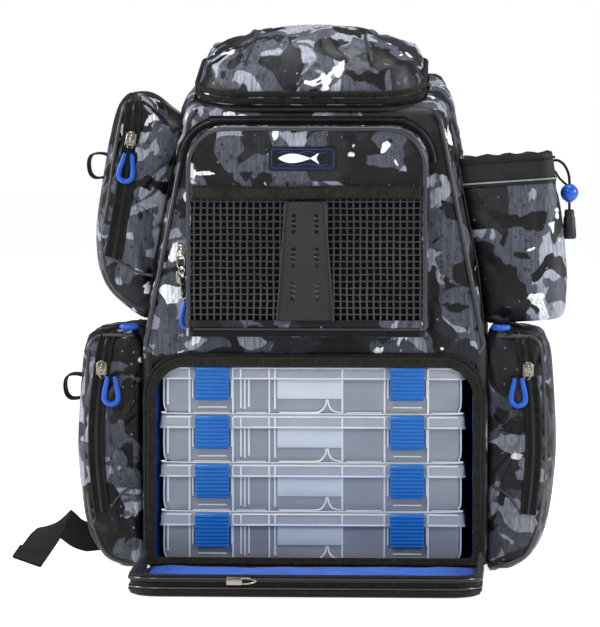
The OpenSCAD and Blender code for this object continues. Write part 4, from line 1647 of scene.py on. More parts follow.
        # the rungs share the strands' finish, mid grey partly as painted sheen
        rungs.place(GRID_PAINTED_SHEEN, "flap")
        for side in (-1, 1):
            edge = [vec(mid + side * (wide(z) - 0.6), y + 2.6, z) for z in np.linspace(lo.z, hi.z, 24)]
            flat_strip(
                f"sleeve_side_{'left' if side < 0 else 'right'}", edge, (4.6, 1.6, 0.6), vec(0, 1, 0),
                SLEEVE, "flap"
            )

    def badge(self) -> None:
        """A moulded badge with a frame line and a wave and fish emblem."""
        lo, hi = node_box("badge")
        x0, x1, z0, z1, y = lo.x, hi.x, lo.z, hi.z, lo.y
        Sculpt("badge_plate").prism(
            arch(x0, x1, z0, z1, 2.6, 2.6), y, y + 1.8, 0.5
        ).place(BADGE, "flap", replaces=["badge"])
        path = even(
            [vec(x, y - 0.05, z) for x, z in arch(x0 + 2.6, x1 - 2.6, z0 + 2.6, z1 - 2.6, 1.6, 1.6)], 1.5,
            True
        )
        middle = vec((x0 + x1) / 2, 0, (z0 + z1) / 2)
        Sculpt("badge_frame").sweep(
            path, band_section(0.9, 0.5, 0.2),
            lambda i: vec((path[i].x - middle.x) * 0.3, 0, path[i].z - middle.z), loop=True
        ).place(BADGE_LINE, "flap")
        art = Sculpt("badge_emblem")
        cx, cz = middle.x, middle.z
        fish = [
            (cx - 22 + 30 * t, cz + 0.4 + 4.2 * math.sin(math.pi * t**0.8)) for t in np.linspace(0, 1, 18)
        ]
        fish += [
            (cx + 8 - 30 * t, cz + 0.4 - 4.2 * math.sin(math.pi * (1 - t) ** 0.8))
            for t in np.linspace(0, 1, 18)
        ][1:-1]
        art.prism(fish, y - 0.35, y + 0.5, 0.15)
        art.prism(
            [(cx + 6.5, cz + 0.4), (cx + 15, cz + 5.6), (cx + 12.4, cz + 0.4), (cx + 15, cz - 4.8)],
            y - 0.35, y + 0.5, 0.12
        )
        art.place(BADGE_WHITE, "flap", sharp=30)
        waves = Sculpt("badge_wave")
        for dz in (5.8, -5.4):
            line = [vec(cx + x, y - 0.1, cz + dz + 0.9 * math.sin(x / 3.2)) for x in np.linspace(-22, 22, 60)]
            waves.sweep(line, band_section(0.9, 0.5, 0.2), vec(0, 0, 1))
        waves.place(BADGE_LINE, "flap")
        Sculpt("side_tag").box(
            (-114.6, self.face + 3, 216), (-108.6, self.face + 3.6, 226), 0.2
        ).place(TAG, "flap")


# ---- Tackle boxes ------------------------------------------------------------------------


@dataclass
class TackleBox:
    """One stowaway box: a clear tray with dividers, its lid and its two latches."""

    number: int
    aside: float = -2.2
    wall: float = 1.5
    corner: float = 9.0

    def build(self) -> None:
        """Makes the pieces."""
        self.tray()
        self.lid()
        for side in ("left", "right"):
            self.latch(side)

    def sizes(self, part: str) -> tuple[Vector, Vector]:
        """Box of a part, moved to where the box lies on its shelf."""
        lo, hi = node_box(f"box_{self.number}_{part}")
        return lo + vec(self.aside, 0, 0), hi + vec(self.aside, 0, 0)

    def outline(
        self, lo: Vector, hi: Vector, z: float, inset_x: float, inset_y: float, r: float
    ) -> list[Vector]:
        """A level ring of the tray or the lid."""
        return [
            vec(x, y, z) for x,
            y in arch(lo.x + inset_x, hi.x - inset_x, lo.y + inset_y, hi.y - inset_y, r, r)
        ]

    def tray(self) -> None:
        """The tray: moulded walls, dividers, latch ears, ribs and a label window."""
        name, body = f"box_{self.number}_tray", f"box_{self.number}"
        lo, hi = self.sizes("tray")
        lo.y = -96.0
        base, top = lo.z, self.sizes("lid")[0].z + 1.0
        work = Sculpt(name + "_clear")
        drop = []
        for k in range(7):
            a = math.pi / 2 * k / 6
            drop.append((base + self.corner * (1 - math.cos(a)) * 1.0, self.corner * (1 - math.sin(a))))
        rings = [self.outline(lo, hi, z, i, i * 0.3, 5) for z, i in drop] + [
            self.outline(lo, hi, top, 0, 0, 5), self.outline(lo, hi, top, self.wall, self.wall, 4)
        ]
        rings += [
            self.outline(lo, hi, z + 0.2, i + self.wall, i * 0.3 + self.wall, 4) for z,
            i in reversed(drop[1:])
        ] + [self.outline(lo, hi, base + 1.7, 11, 5, 4)]
        work.skin(rings)
        work.place(CLEAR, body, replaces=[name], sharp=30)
        inside = Sculpt(name + "_dividers")
        y0, y1 = lo.y + 2.2, hi.y - 2.2
        mid = (lo.x + hi.x) / 2
        for x in (-105, -59, -23, 31, 63, 107):
            inside.box((mid + x - 0.8, y0, base + 2.2), (mid + x + 0.8, y1, top - 0.5), 0.2)
        inside.box(
            (lo.x + 11, (y0 + y1) / 2 - 0.7, base + 2.2), (hi.x - 11, (y0 + y1) / 2 + 0.7, top - 1), 0.2
        )
        for x in np.arange(-120, 121, 15):
            for dx in (-1.4, 1.4):
                inside.box(
                    (mid + x + dx - 0.5, y1 - 0.5, base + 3), (mid + x + dx + 0.5, y1 + 1.3, top - 2), 0.15
                )
        inside.place(CLEAR, body, sharp=30)
        front = Sculpt(name + "_ribs")
        y, dx = lo.y, self.aside
        full = ((-111.8, 0.9), (-72.3, 0.8), (-39.1, 0.7), (27.4, 0.8), (65.8, 0.8), (105.3, 0.9))
        for x, w in full:
            front.box((x + dx - w, y - 1.3, base + 1.4), (x + dx + w, y + 0.6, top), 0.35)
        for x, low in ((-131.5, 9), (-65, 6), (-61.5, 5), (-57.8, 7), (-33.9, 5)):
            front.box((x + dx - 0.8, y - 1.1, base + low), (x + dx + 0.8, y + 0.6, top), 0.35)
        for x in (-91.0, 86.5):
            for s in (-1, 1):
                front.box(
                    (x + dx + s * 17.6 - 0.7, y - 2.4, base + 15), (x + dx + s * 17.6 + 0.7, y + 0.6, top),
                    0.4
                )
            front.box((x + dx - 13, y - 0.8, base + 6.2), (x + dx + 13, y + 0.4, base + 7.4), 0.3)
        rim = [
            p + vec(0, -0.2, 0) for p in curve(
                [
                    vec(lo.x + 0.4, y, top), vec(lo.x + 0.4, y, base + 10), vec(lo.x + 3, y, base + 3.4),
                    vec(lo.x + 9, y, base + 0.9), vec(0, y, base + 0.7), vec(hi.x - 9, y, base + 0.9),
                    vec(hi.x - 3, y, base + 3.4), vec(hi.x - 0.4, y, base + 10), vec(hi.x - 0.4, y, top)
                ],
                2
            )
        ]
        front.sweep(rim, round_section(0.65, 8), vec(0, 1, 0))
        for x0, x1 in ((-108.9, -75), (-69, -42), (31, 63), (108.5, 133)):
            front.sweep(
                [vec(x + dx, y - 0.1, base + 2.0) for x in np.linspace(x0, x1, 8)], round_section(0.5, 6),
                vec(0, 1, 0)
            )
        for pts in (
            ((-30, 2), (2, 2), (8.6, 4), (12.2, 9), (12.9, 14)),
            ((14.3, 14), (15.0, 9), (18.4, 4), (24, 2.4), (26, 2.2))
        ):
            front.sweep(
                curve([vec(x + dx, y - 0.3, base + z) for x, z in pts], 1.2), round_section(0.7, 8),
                vec(0, 1, 0)
            )
        # ribs and rims: whiter partly as painted highlight
        front.place(EDGE_PAINTED_HIGHLIGHT, body, sharp=30)
        label = Sculpt(name + "_label")
        label.prism(
            [(-31.8 + dx, base + 14.6), (26.6 + dx, base + 14.6), (26.6 + dx, top), (-31.8 + dx, top)],
            y - 1.2, y - 0.5, 0.25
        )
        label.place(CLEAR_LABEL, body, sharp=30)

    def lid(self) -> None:
        """The lid: a lipped plate with bright edges, whiter partly as painted highlight, and latch ears."""
        name, body = f"box_{self.number}_lid", f"box_{self.number}"
        lo, hi = self.sizes("lid")
        top, low = hi.z, lo.z
        work = Sculpt(name + "_clear")
        levels = [
            (low, 1.5, 6), (low, 0.1, 7), (low + 1.2, 0, 7), (low + 2.2, 0.9, 7), (top - 3.2, 1.2, 7),
            (top - 1.0, 1.5, 7), (top - 0.3, 2.2, 6.6), (top, 3.2, 6)
        ]
        rings = [
            self.outline(lo, hi, top - 1.6, 7, 7, 5), self.outline(lo, hi, top - 1.9, 3.2, 3.2, 5),
            self.outline(lo, hi, low, 2.6, 2.6, 5)
        ]
        rings += [self.outline(lo, hi, z, i, i, r) for z, i, r in levels] + [
            self.outline(lo, hi, top, 7, 7, 5), self.outline(lo, hi, top - 0.7, 8, 8, 5)
        ]
        work.skin(rings)
        work.place(CLEAR_LID, body, replaces=[name], sharp=30)
        rails = Sculpt(name + "_rails")
        dx = self.aside
        for x0, x1 in ((lo.x + 7, -110 + dx), (-72 + dx, 67 + dx), (106 + dx, hi.x - 7)):
            for z, deep in ((low + 0.9, 0.0), (top - 1.6, 1.2)):
                rails.sweep(
                    [vec(x, lo.y + deep, z) for x in np.linspace(x0, x1, 16)], round_section(0.75, 8),
                    vec(0, 1, 0)
                )
        for x in (-111.8, -72.3, -65, -39.1, -33.9, 27.4, 65.8, 105.3):
            rails.box((x + dx - 0.7, lo.y - 0.3, low + 0.6), (x + dx + 0.7, lo.y + 1.4, top - 1.4), 0.3)
        # the rails: whiter partly as painted highlight
        rails.place(EDGE_PAINTED_HIGHLIGHT, body, sharp=30)

    def latch(self, side: str) -> None:
        """A moulded latch with ribs all the way up, a hooked top and a pin.

        Args:
            side: left or right.
        """
        name = f"box_{self.number}_latch_{side}"
        lo, hi = self.sizes(f"latch_{side}")
        x0, x1, y = lo.x + 0.9, hi.x - 0.9, lo.y
        profile = [(y + 2.6, lo.z + 0.6), (y + 0.9, lo.z + 0.2), (y + 0.2, lo.z + 1.2)]
        for k in range(8):
            z = lo.z + 2.4 + k * 3.4
            profile += [(y + 1.3, z - 0.1), (y + 1.2, z + 0.7), (y + 0.1, z + 1.2), (y + 0.0, z + 2.6)]
        profile += [
            (y + 0.9, hi.z - 0.5), (y + 2.0, hi.z), (y + 5.6, hi.z), (y + 5.8, hi.z - 1.6),
            (y + 3.2, hi.z - 2.6), (y + 2.8, hi.z - 4.4)
        ]
        work = Sculpt(name + "_grip")
        rings = []
        for x, inset in (
            (x0, 0.7), (x0 + 0.5, 0.15), (x0 + 1.2, 0), (x1 - 1.2, 0), (x1 - 0.5, 0.15), (x1, 0.7)
        ):
            rings.append(
                [
                    vec(
                        x, min(p[0] + inset, y + 5.6), lo.z + (p[1] - lo.z) * (1 - inset / 20) + inset * 0.3
                    ) for p in profile
                ]
            )
        work.skin(rings)
        work.sweep(
            [vec(x, -98.8, hi.z - 21.08) for x in np.linspace(x0 + 0.4, x1 - 0.4, 6)],
            round_section(2.6, 12), vec(0, 1, 0)
        )
        work.place(LATCH, name, replaces=[name], sharp=32)


# ---- Zips and pulls ----------------------------------------------------------------------


@dataclass
class ZipLine:
    """A straight or curved zip: two tapes, a coil and bound edges."""

    name: str
    path: Sequence[Vector]
    across: Vector
    half: float = 6.5
    loop: bool = False

    def build(self) -> None:
        """Makes the pieces."""
        path = curve(self.path, 3)
        tape = Sculpt(self.name + "_tape")
        tape.sweep(path, band_section(self.half * 2, 0.9, 0.3), self.across).place(TAPE)
        Sculpt(self.name + "_coil").coil(path, self.across, 4.2, 2.6, 2.2).place(COIL)
        n = len(path)
        for s in (-1, 1):
            line = []
            for i, p in enumerate(path):
                t = (path[min(i + 1, n - 1)] - path[max(i - 1, 0)]).normalized()
                side = (self.across - t * self.across.dot(t)).normalized()
                line.append(p + side * s * (self.half - 0.4) + t.cross(side) * 0.2)
            flat_strip(
                f"{self.name}_edge_{'a' if s < 0 else 'b'}", line, (2.6, 2.2, 0.8), self.across, BINDING
            )


@dataclass
class Slider:
    """A zip slider with its bail, ring, cord loop and moulded blue grip, in its own frame.

    The frame's z runs along the zip, -y out of the cloth and x across it.
    """

    node: str
    origin: Vector
    along: Vector
    out: Vector
    aside: float
    drop: float
    front: float = 0.0
    swing: float = 0.0
    swivel: bool = False

    def world(self, x: float, y: float, z: float) -> Vector:
        """A point of the slider's frame in the object's frame; y is outwards."""
        across = self.out.cross(self.along)
        return self.origin + across * x + self.out * y + self.along * z

    def hang(self, x: float, y: float, z: float) -> Vector:
        """As world, with the pull turned about the slider's own outward line."""
        a = math.radians(self.swing)
        return self.world(x * math.cos(a) + z * math.sin(a), y, -x * math.sin(a) + z * math.cos(a))

    def build(self) -> None:
        """Makes the pieces."""
        body = self.node
        work = Sculpt(self.node + "_car")
        outline = [
            (-3.4, -6.4), (3.4, -6.4), (4.6, -1), (4.2, 4.4), (2.2, 7), (-2.2, 7), (-4.2, 4.4), (-4.6, -1)
        ]
        work.prism(outline, 2.9, 4.8, 0.6, lambda x, y, z: self.world(x, y, z))
        for s in (-1, 1):
            lip = [(s * 4.0, -6), (s * 4.9, -6), (s * 4.9, 5), (s * 4.0, 5)]
            work.prism(lip, 0.7, 4.4, 0.3, lambda x, y, z: self.world(x, y, z))
        bail = curve(
            [self.world(0, 4.2, -4), self.world(0, 6.6, -3), self.world(0, 6.9, 1), self.world(0, 4.2, 4)],
            0.8
        )
        work.sweep(bail, band_section(2.4, 1.0, 0.3), self.out.cross(self.along))
        finish = SILVER if self.swivel else GUNMETAL
        work.place(finish, body, replaces=[self.node], sharp=45)
        y = 5.8 + self.front
        grip_top = -self.drop + 25
        start = -2.0
        metal = Sculpt(self.node + "_rings")
        if self.swivel:
            metal.sweep(self.loop_path(0, -2, -15, 3.4, y), round_section(0.75, 8), self.out, loop=True)
            metal.sweep(
                self.loop_path(-1, -13, -20, 2.6, y + 0.8), round_section(0.8, 8), self.out, loop=True
            )
            metal.ball(self.hang(self.aside * 0.3, y + 0.4, -21), 2.0)
            metal.sweep(
                self.loop_path(self.aside * 0.4, -21.5, -42, 2.7, y + 0.4), round_section(0.7, 8), self.out,
                loop=True
            )
            start = -20.0
        else:
            metal.sweep(
                self.loop_path(self.aside * 0.1, 0, -9, 2.6, y), round_section(0.7, 8), self.out, loop=True
            )
            start = -8.0
        metal.place(finish, body)
        cord = Sculpt(self.node + "_cord")
        for s in (-1, 1):
            line = [
                self.hang(s * 0.7 + self.aside * 0.05, y + 0.3, start),
                self.hang(self.aside * 0.4 + s * 1.3, y + 0.6, (start + grip_top) * 0.5),
                self.hang(self.aside + s * 3.1, y + 0.2, grip_top)
            ]
            cord.sweep(curve(line, 2), round_section(0.9, 8), self.out)
        cord.place(CORD, body)
        grip = Sculpt(self.node + "_grip")
        pts = [
            (-3.2, 26.5), (-4.4, 20), (-6.3, 10), (-5.4, 3.8), (0, 1.2), (5.4, 3.8), (6.3, 10), (4.4, 20),
            (3.2, 26.5)
        ]
        path = curve([self.hang(self.aside + x, y + 0.2, -self.drop + z) for x, z in pts], 1.4)
        n = len(path)
        grip.sweep(
            path, round_section(2.45, 12), self.out,
            scale=lambda i: 0.62 + 0.42 * math.sin(math.pi * min(1, max(0, (i + 0.6) / n))) ** 0.4
        )
        grip.place(PULLER, body)

    def loop_path(self, x: float, top: float, low: float, half: float, y: float) -> list[Vector]:
        """A long closed loop of wire."""
        pts = [
            (0, top), (half * 0.8, top - half * 0.6), (half, (top + low) / 2),
            (half * 0.8, low + half * 0.6), (0, low), (-half * 0.8, low + half * 0.6),
            (-half, (top + low) / 2), (-half * 0.8, top - half * 0.6)
        ]
        return curve([self.hang(x + a, y, b) for a, b in pts], 1.2, True)


@dataclass
class Zips:
    """The zips of the body and every slider."""

    flap_zip_x: float = -120.5
    low_zip_x: float = 194.0
    low_top_x: float = 171.0
    pouch_y0: float = -98.0
    low_z1: float = 216.0

    def build(self) -> None:
        """Makes the pieces."""
        outer = [vec(x, -105.3, z) for x, z in arch(-121, 108.5, 170, 409.5, 38, 2) if z > 229]
        path = curve(outer, 2.5)
        middle = vec(-6, 0, 300)
        Sculpt("flap_zip_tape").sweep(
            [p + vec(0, 0.9, 0) for p in path], band_section(8.4, 0.6, 0.2),
            lambda i: vec(path[i].x + 6, 0, path[i].z - 320)
        ).place(TAPE)
        coil = Sculpt("flap_zip_coil")
        coil.coil(path, lambda i: vec(path[i].x - middle.x, 0, path[i].z - 320), 4.4, 2.0, 2.2)
        coil.place(COIL, replaces=["zip_chains"])
        up, right, fwd = vec(0, 0, 1), vec(1, 0, 0), vec(0, -1, 0)
        Slider(
            "flap_slider_upper", vec(self.flap_zip_x, -104, 290), up, fwd, -7, 70, 2.4, swivel=True
        ).build()
        Slider("flap_slider_lower", vec(self.flap_zip_x, -104, 268), up, fwd, -18, 44).build()
        for s, name in ((-1, "left"), (1, "right")):
            Slider(
                f"{name}_slider_front", vec(s * self.low_zip_x, self.pouch_y0, 184), up, fwd, s * 9, 34
            ).build()
            Slider(
                f"{name}_slider_top", vec(s * self.low_top_x, -72, self.low_z1), vec(0, 1, 0), up, s * 2, 34
            ).build()
        low, top = vec(-181, -84, 300), vec(-166, -84, 404)
        along = (top - low).normalized()
        Slider("upper_slider", low + along * ((top - low).length - 12), along, fwd, 0, 40).build()
        seam_dir = LID.world(0, 1, 0) - LID.world(0, 0, 0)
        at = LID.world(99, 86, -3)
        Slider("lid_slider", at, seam_dir, right, 2, 40, 2.0, swing=104).build()
        self.door_slider()

    def door_slider(self) -> None:
        """The slider of the bay door and its tab."""
        lo, hi = node_box("door_slider")
        z = (lo.z + hi.z) / 2
        work = Sculpt("door_slider_car")
        work.box((lo.x, lo.y + 0.2, lo.z + 0.4), (lo.x + 14, hi.y - 0.1, hi.z - 0.4), 0.9)
        work.sweep(
            curve(
                [
                    vec(lo.x + 10, lo.y + 1, z - 1.6), vec(lo.x + 18, lo.y + 0.9, z - 2.4),
                    vec(lo.x + 26, lo.y + 0.9, z), vec(lo.x + 18, lo.y + 0.9, z + 2.4),
                    vec(lo.x + 10, lo.y + 1, z + 1.6)
                ],
                1
            ),
            round_section(0.75, 8), vec(0, 1, 0)
        )
        work.place(GUNMETAL, "door_slider", replaces=["door_slider"], sharp=45)


# ---- Side pouches ------------------------------------------------------------------------


@dataclass
class Pouches:
    """The three zipped pouches and the drawstring pouch."""

    y0: float = -98.0
    low_d: float = 150.0
    up_y0: float = -84.0
    up_d: float = 116.0

    def build(self) -> None:
        """Makes the pieces."""
        for side, name in ((-1, "left"), (1, "right")):
            self.low(side, name)
        self.upper()
        self.drawstring()
        self.loops()

    @staticmethod
    def rounded(points: Sequence[Flat], step: float = 4) -> list[Flat]:
        """A smooth outline through points."""
        return [(p.x, p.z) for p in curve([vec(x, 0, z) for x, z in points], step, True)]

    def low(self, side: int, name: str) -> None:
        """A lower pouch with its zip up the front and over the top.

        Args:
            side: -1 for the left, 1 for the right.
            name: the side in words.
        """
        pts = [
            (0, 3), (14, 3), (36, 15), (48, 46), (53.2, 92), (53.6, 130), (52, 172), (50, 203), (44, 214),
            (28, 215.6), (2, 215.6), (0, 180), (0, 120), (0, 60)
        ]
        outline = self.rounded([(side * (157.2 + x), z) for x, z in pts])
        work = pillow(
            f"pouch_lower_{name}_cloth", outline, self.y0 + 1, self.y0 + self.low_d, 11, 5, crown=2, bow=2
        )
        # the right pouch takes the copy painted darker, as painted shade on that side
        piece = work.place(CAMO_POUCH if side < 0 else CAMO_SIDE_PAINTED_SHADE, replaces=[f"pouch_lower_{name}"])

        def held(p: Vector) -> float:
            """Holds the pouch at its back and along its zip."""
            x = abs(p.x) - 157.2
            if x < 6 or p.y > self.y0 + self.low_d - 4:
                return 1.0
            if abs(x - 36.8) < 7 and (p.y < self.y0 + 6 or p.z > 206):
                return 0.92
            return 0.0

        ROOM.add(piece, held, cap=7, pressure=5, slack=0.06, stiff=8)
        x = side * (157.2 + 36.8)
        front = [
            vec(
                x + side * (6.4 * math.sin(math.pi * t) - 3 * t),
                self.y0 - 1.4 - 1.6 * math.sin(math.pi * t), 52 + 150 * t
            ) for t in np.linspace(0, 1, 12)
        ]
        over = [
            vec(x - side * 6, self.y0 + 3, 213), vec(x - side * 13, self.y0 + 14, 217.2),
            vec(x - side * 21, self.y0 + 44, 217.6), vec(x - side * 23, self.y0 + 130, 217.4)
        ]
        ZipLine(f"pouch_lower_{name}_zip", front + over, vec(side, 0.0, 0.15)).build()
        rim = [
            vec(side * (157.2 + a), self.y0 + 3.6, b) for a,
            b in [
                (6, 4.5), (15, 5), (35, 16), (46.6, 47), (51.6, 92), (52, 130), (50.6, 172), (48.6, 200),
                (43, 211.5), (30, 213.6), (8, 213.8)
            ]
        ]
        round_piping(f"pouch_lower_{name}_piping", rim, 1.9, PIPING)
        seam = [vec(side * (157.2 + a), self.y0 - 0.9, b) for a, b in [(4, 78), (12, 74), (22, 66), (31, 52)]]
        round_piping(f"pouch_lower_{name}_seam", seam, 1.3, PIPING)
        back = [
            vec(side * (157.2 + a), self.y0 + self.low_d - 4, b) for a,
            b in [(6, 4.5), (35, 16), (51.4, 92), (50.4, 172), (43, 211.5), (8, 213.8)]
        ]
        round_piping(f"pouch_lower_{name}_back_piping", back, 1.9, NYLON)

    def upper(self) -> None:
        """The upper pouch with its slanting zip."""
        pts = [
            (-153.4, 233), (-170, 240), (-191, 262), (-197, 300), (-191, 340), (-184, 388), (-176, 424),
            (-168, 429.6), (-154, 428), (-140, 414), (-120.5, 400), (-126, 370), (-136, 320), (-146, 270)
        ]
        outline = self.rounded(pts)
        work = pillow(
            "pouch_upper_left_cloth", outline, self.up_y0 + 1, self.up_y0 + self.up_d, 10, 5, crown=3, bow=2
        )
        piece = work.place(CAMO_POUCH, replaces=["pouch_upper_left"])
        low, top = vec(-181, self.up_y0, 300), vec(-166, self.up_y0, 404)

        def held(p: Vector) -> float:
            """Holds the pouch at its back and along its zip."""
            line = low.x + (p.z - low.z) * (top.x - low.x) / (top.z - low.z)
            if p.x > -157 + max(0, p.z - 200) * 0.194 + 8 or p.y > self.up_y0 + self.up_d - 4:
                return 1.0
            return 0.92 if abs(p.x - line) < 6 and p.y < self.up_y0 + 6 and p.z > 292 else 0.0

        ROOM.add(piece, held, cap=7, pressure=5, slack=0.06, stiff=8)
        line = [
            vec(-184.5, self.up_y0 - 2.4, 284), vec(-180.5, self.up_y0 - 2.6, 305),
            vec(-174, self.up_y0 - 2.4, 345), vec(-168.6, self.up_y0 - 2.2, 385),
            vec(-166, self.up_y0 - 1.2, 412)
        ]
        line += [
            vec(-164.6, self.up_y0 + 4, 427), vec(-164, self.up_y0 + 16, 431.4),
            vec(-164, self.up_y0 + 60, 431.6), vec(-164, self.up_y0 + 96, 431.2)
        ]
        ZipLine("pouch_upper_zip", line, vec(1, 0, -0.14), 7.2).build()
        rim = [
            (-156, 236), (-170, 243), (-188.6, 264), (-194.4, 300), (-188.6, 340), (-181.6, 388),
            (-174.4, 421), (-168, 427)
        ]
        round_piping("pouch_upper_piping", [vec(x, self.up_y0 + 3.2, z) for x, z in rim], 1.9, PIPING)
        inner = [(-158, 426), (-150, 420), (-138, 409), (-130, 396)]
        round_piping(
            "pouch_upper_shoulder_piping", [vec(x, self.up_y0 + 3.4, z) for x, z in inner], 1.9, NYLON
        )
        seam = [(-184, 283), (-172, 276), (-160, 270), (-148, 268)]
        round_piping("pouch_upper_seam", [vec(x, self.up_y0 - 2.4, z) for x, z in seam], 1.4, PIPING)

    def drawstring(self) -> None:
        """The open drawstring pouch, its collar, cord, lock and cord end."""
        lo, hi = node_box("drawstring_pouch")
        y0, y1 = lo.y, hi.y
        z_split = hi.z

        def edge(z: float) -> Flat:
            """Inner and outer side of the pouch at a height."""
            t = (z - 226) / (374 - 226)
            inner = 157 - max(0, z - 200) * 0.194 + 0.4
            return inner, 230.2 - 14.6 * t

        def ring(t: float, inset: float = 0.0) -> list[Vector]:
            """The pouch's outline at a share of its height."""
            inner_z, outer_z = 226 + 148 * t, 234 + 146 * t
            x0, x1 = edge(inner_z)
            flat = [(x, y) for x, y in arch(x0 + inset, x1 - inset, y0 + inset, y1 - inset, 13, 13)]
            made = []
            for p in even([vec(x, y, 0) for x, y in flat], 5, True):
                s = (p.x - x0) / (x1 - x0)
                made.append(vec(p.x, p.y, inner_z + (outer_z - inner_z) * s))
            return made

        count = len(ring(0.5))
        steps = [(0.0, 9)] + [(0.006, 5), (0.02, 2)] + [
            (t, 0) for t in np.linspace(0.06, (z_split - 226) / 148, 24)
        ]
        work = Sculpt("drawstring_cloth")
        rows = []
        for t, inset in steps:
            rows.append(even(ring(t, inset), 1, True, count))
        work.skin(rows, caps=False)
        work.bm.faces.new(list(work.bm.verts)[:count][::-1])
        skin = work.place(CAMO_FLAP, replaces=["drawstring_pouch"], wall=1.4, inner=NYLON, closed=False)
        ROOM.add(
            skin, lambda p: 1.0 if p.x < 157 - max(0, p.z - 200) * 0.194 + 5 or p.z > 340 else 0.0, cap=6,
            pressure=3, slack=0.06, stiff=8
        )
        collar = Sculpt("drawstring_collar_cloth")
        rows = []
        levels = [
            ((z_split - 226) / 148 - 0.01, -0.8), ((z_split - 226) / 148 + 0.05, -0.5), (0.94, 0.2),
            (0.985, 0.4), (1.0, 0.9), (0.985, 2.6), (0.9, 3.2), (0.84, 3.4)
        ]
        for t, inset in levels:
            row = even(ring(t, inset), 1, True, count)
            for i, p in enumerate(row):
                p.z += 1.0 * math.sin(i * 1.7) * (t > 0.9)
            rows.append(row)
        collar.skin(rows, caps=False)
        collar.place(DARK, replaces=["drawstring_collar"], wall=1.0, closed=False)
        for k, t in enumerate(((z_split - 226) / 148 + 0.015, 0.965)):
            r = ring(t, -1.4)
            Sculpt(f"drawstring_hem_{k}").sweep(
                r, band_section(1.4, 0.9, 0.3), vec(0, 0, 1), loop=True
            ).place(THREAD if k == 0 else NYLON)
        self.cord()

    def cord(self) -> None:
        """The drawcord: two braided strands through a ball lock into a moulded end."""
        lock_lo, lock_hi = node_box("cord_lock")
        end_lo, end_hi = node_box("cord_end")
        x, y, z = ((lock_lo + lock_hi) / 2).to_tuple()
        pieces = []
        ball = Sculpt("cord_lock_ball")
        ball.ball((x, y, z), 8.2, (1, 0.92, 1))
        for s in (-1, 1):
            ball.sweep(
                [vec(x, y, z + s * h) for h in (6.4, 7.6, 8.3)], round_section(3.6, 16), vec(1, 0, 0),
                scale=lambda i: 1 - 0.1 * i
            )
        ball.place(BALL, "cord_lock", replaces=["cord_lock"])
        for k, (route, r) in enumerate(
            (
                (
                    (
                        (214, y - 1, 371), (220, y - 1.2, 372), (226, y - 1.2, 368), (230, y - 1.2, 360),
                        (x, y - 1.3, 352), (x, y - 1.3, 340), (x, y - 1.3, 322)
                    ),
                    1.25
                ),
                (
                    (
                        (213, y + 3, 366), (217.6, y + 2.6, 362), (221.5, y + 2, 356),
                        (226, y + 1.5, 351.5), (x - 0.6, y + 1.3, 347), (x, y + 1.3, 338), (x, y + 1.3, 322)
                    ),
                    1.05
                )
            )
        ):
            path = curve(route, 2)
            work = Sculpt(f"drawcord_strand_{k + 1}")
            work.sweep(path, round_section(r, 8), vec(0, 1, 0))
            strand = work.place(CORD, replaces=["drawcord"] if k == 0 else ())
            pieces.append((strand, path, r))
        end = Sculpt("cord_end_mould")
        zs = [
            (end_hi.z + 1, 3.4), (end_hi.z, 4.2), (end_hi.z - 2, 4.6), (end_hi.z - 5, 4.4),
            (end_hi.z - 6, 5.2), (end_lo.z + 3, 6.5), (end_lo.z + 1, 6.3), (end_lo.z, 5.2)
        ]
        rings = [[vec(x + r * a, y + r * 0.8 * b, z0) for a, b in round_section(1, 24)] for z0, r in zs]
        end.skin(rings)
        moulded = end.place(PLASTIC, replaces=["cord_end"], sharp=60)
        for strand, path, r in pieces:
            length = sum((b - a).length for a, b in zip(path, path[1:])) * MM
            [p * MM for p in path]

    def loops(self) -> None:
        """The two webbing loops."""
        for name, x, z in (("upper", -189.0, 366.0), ("lower", -211.4, 163.0)):
            path = curve(
                [
                    vec(x + 1, 0, z + 9), vec(x - 8, 0, z + 12), vec(x - 17, 0, z + 11),
                    vec(x - 20.4, 0, z + 5), vec(x - 19.6, 0, z - 5), vec(x - 15, 0, z - 10.2),
                    vec(x - 7, 0, z - 10.0), vec(x + 1, 0, z - 9.0)
                ],
                2
            )
            path = [p + vec(0, -49, 0) for p in path]
            work = Sculpt(f"webbing_loop_{name}")
            work.sweep(path, band_section(26, 1.8, 0.5), vec(0, 1, 0)).place(
                WEBBING, replaces=["webbing_loops"] if name == "upper" else ()
            )


# ---- Bay door ----------------------------------------------------------------------------


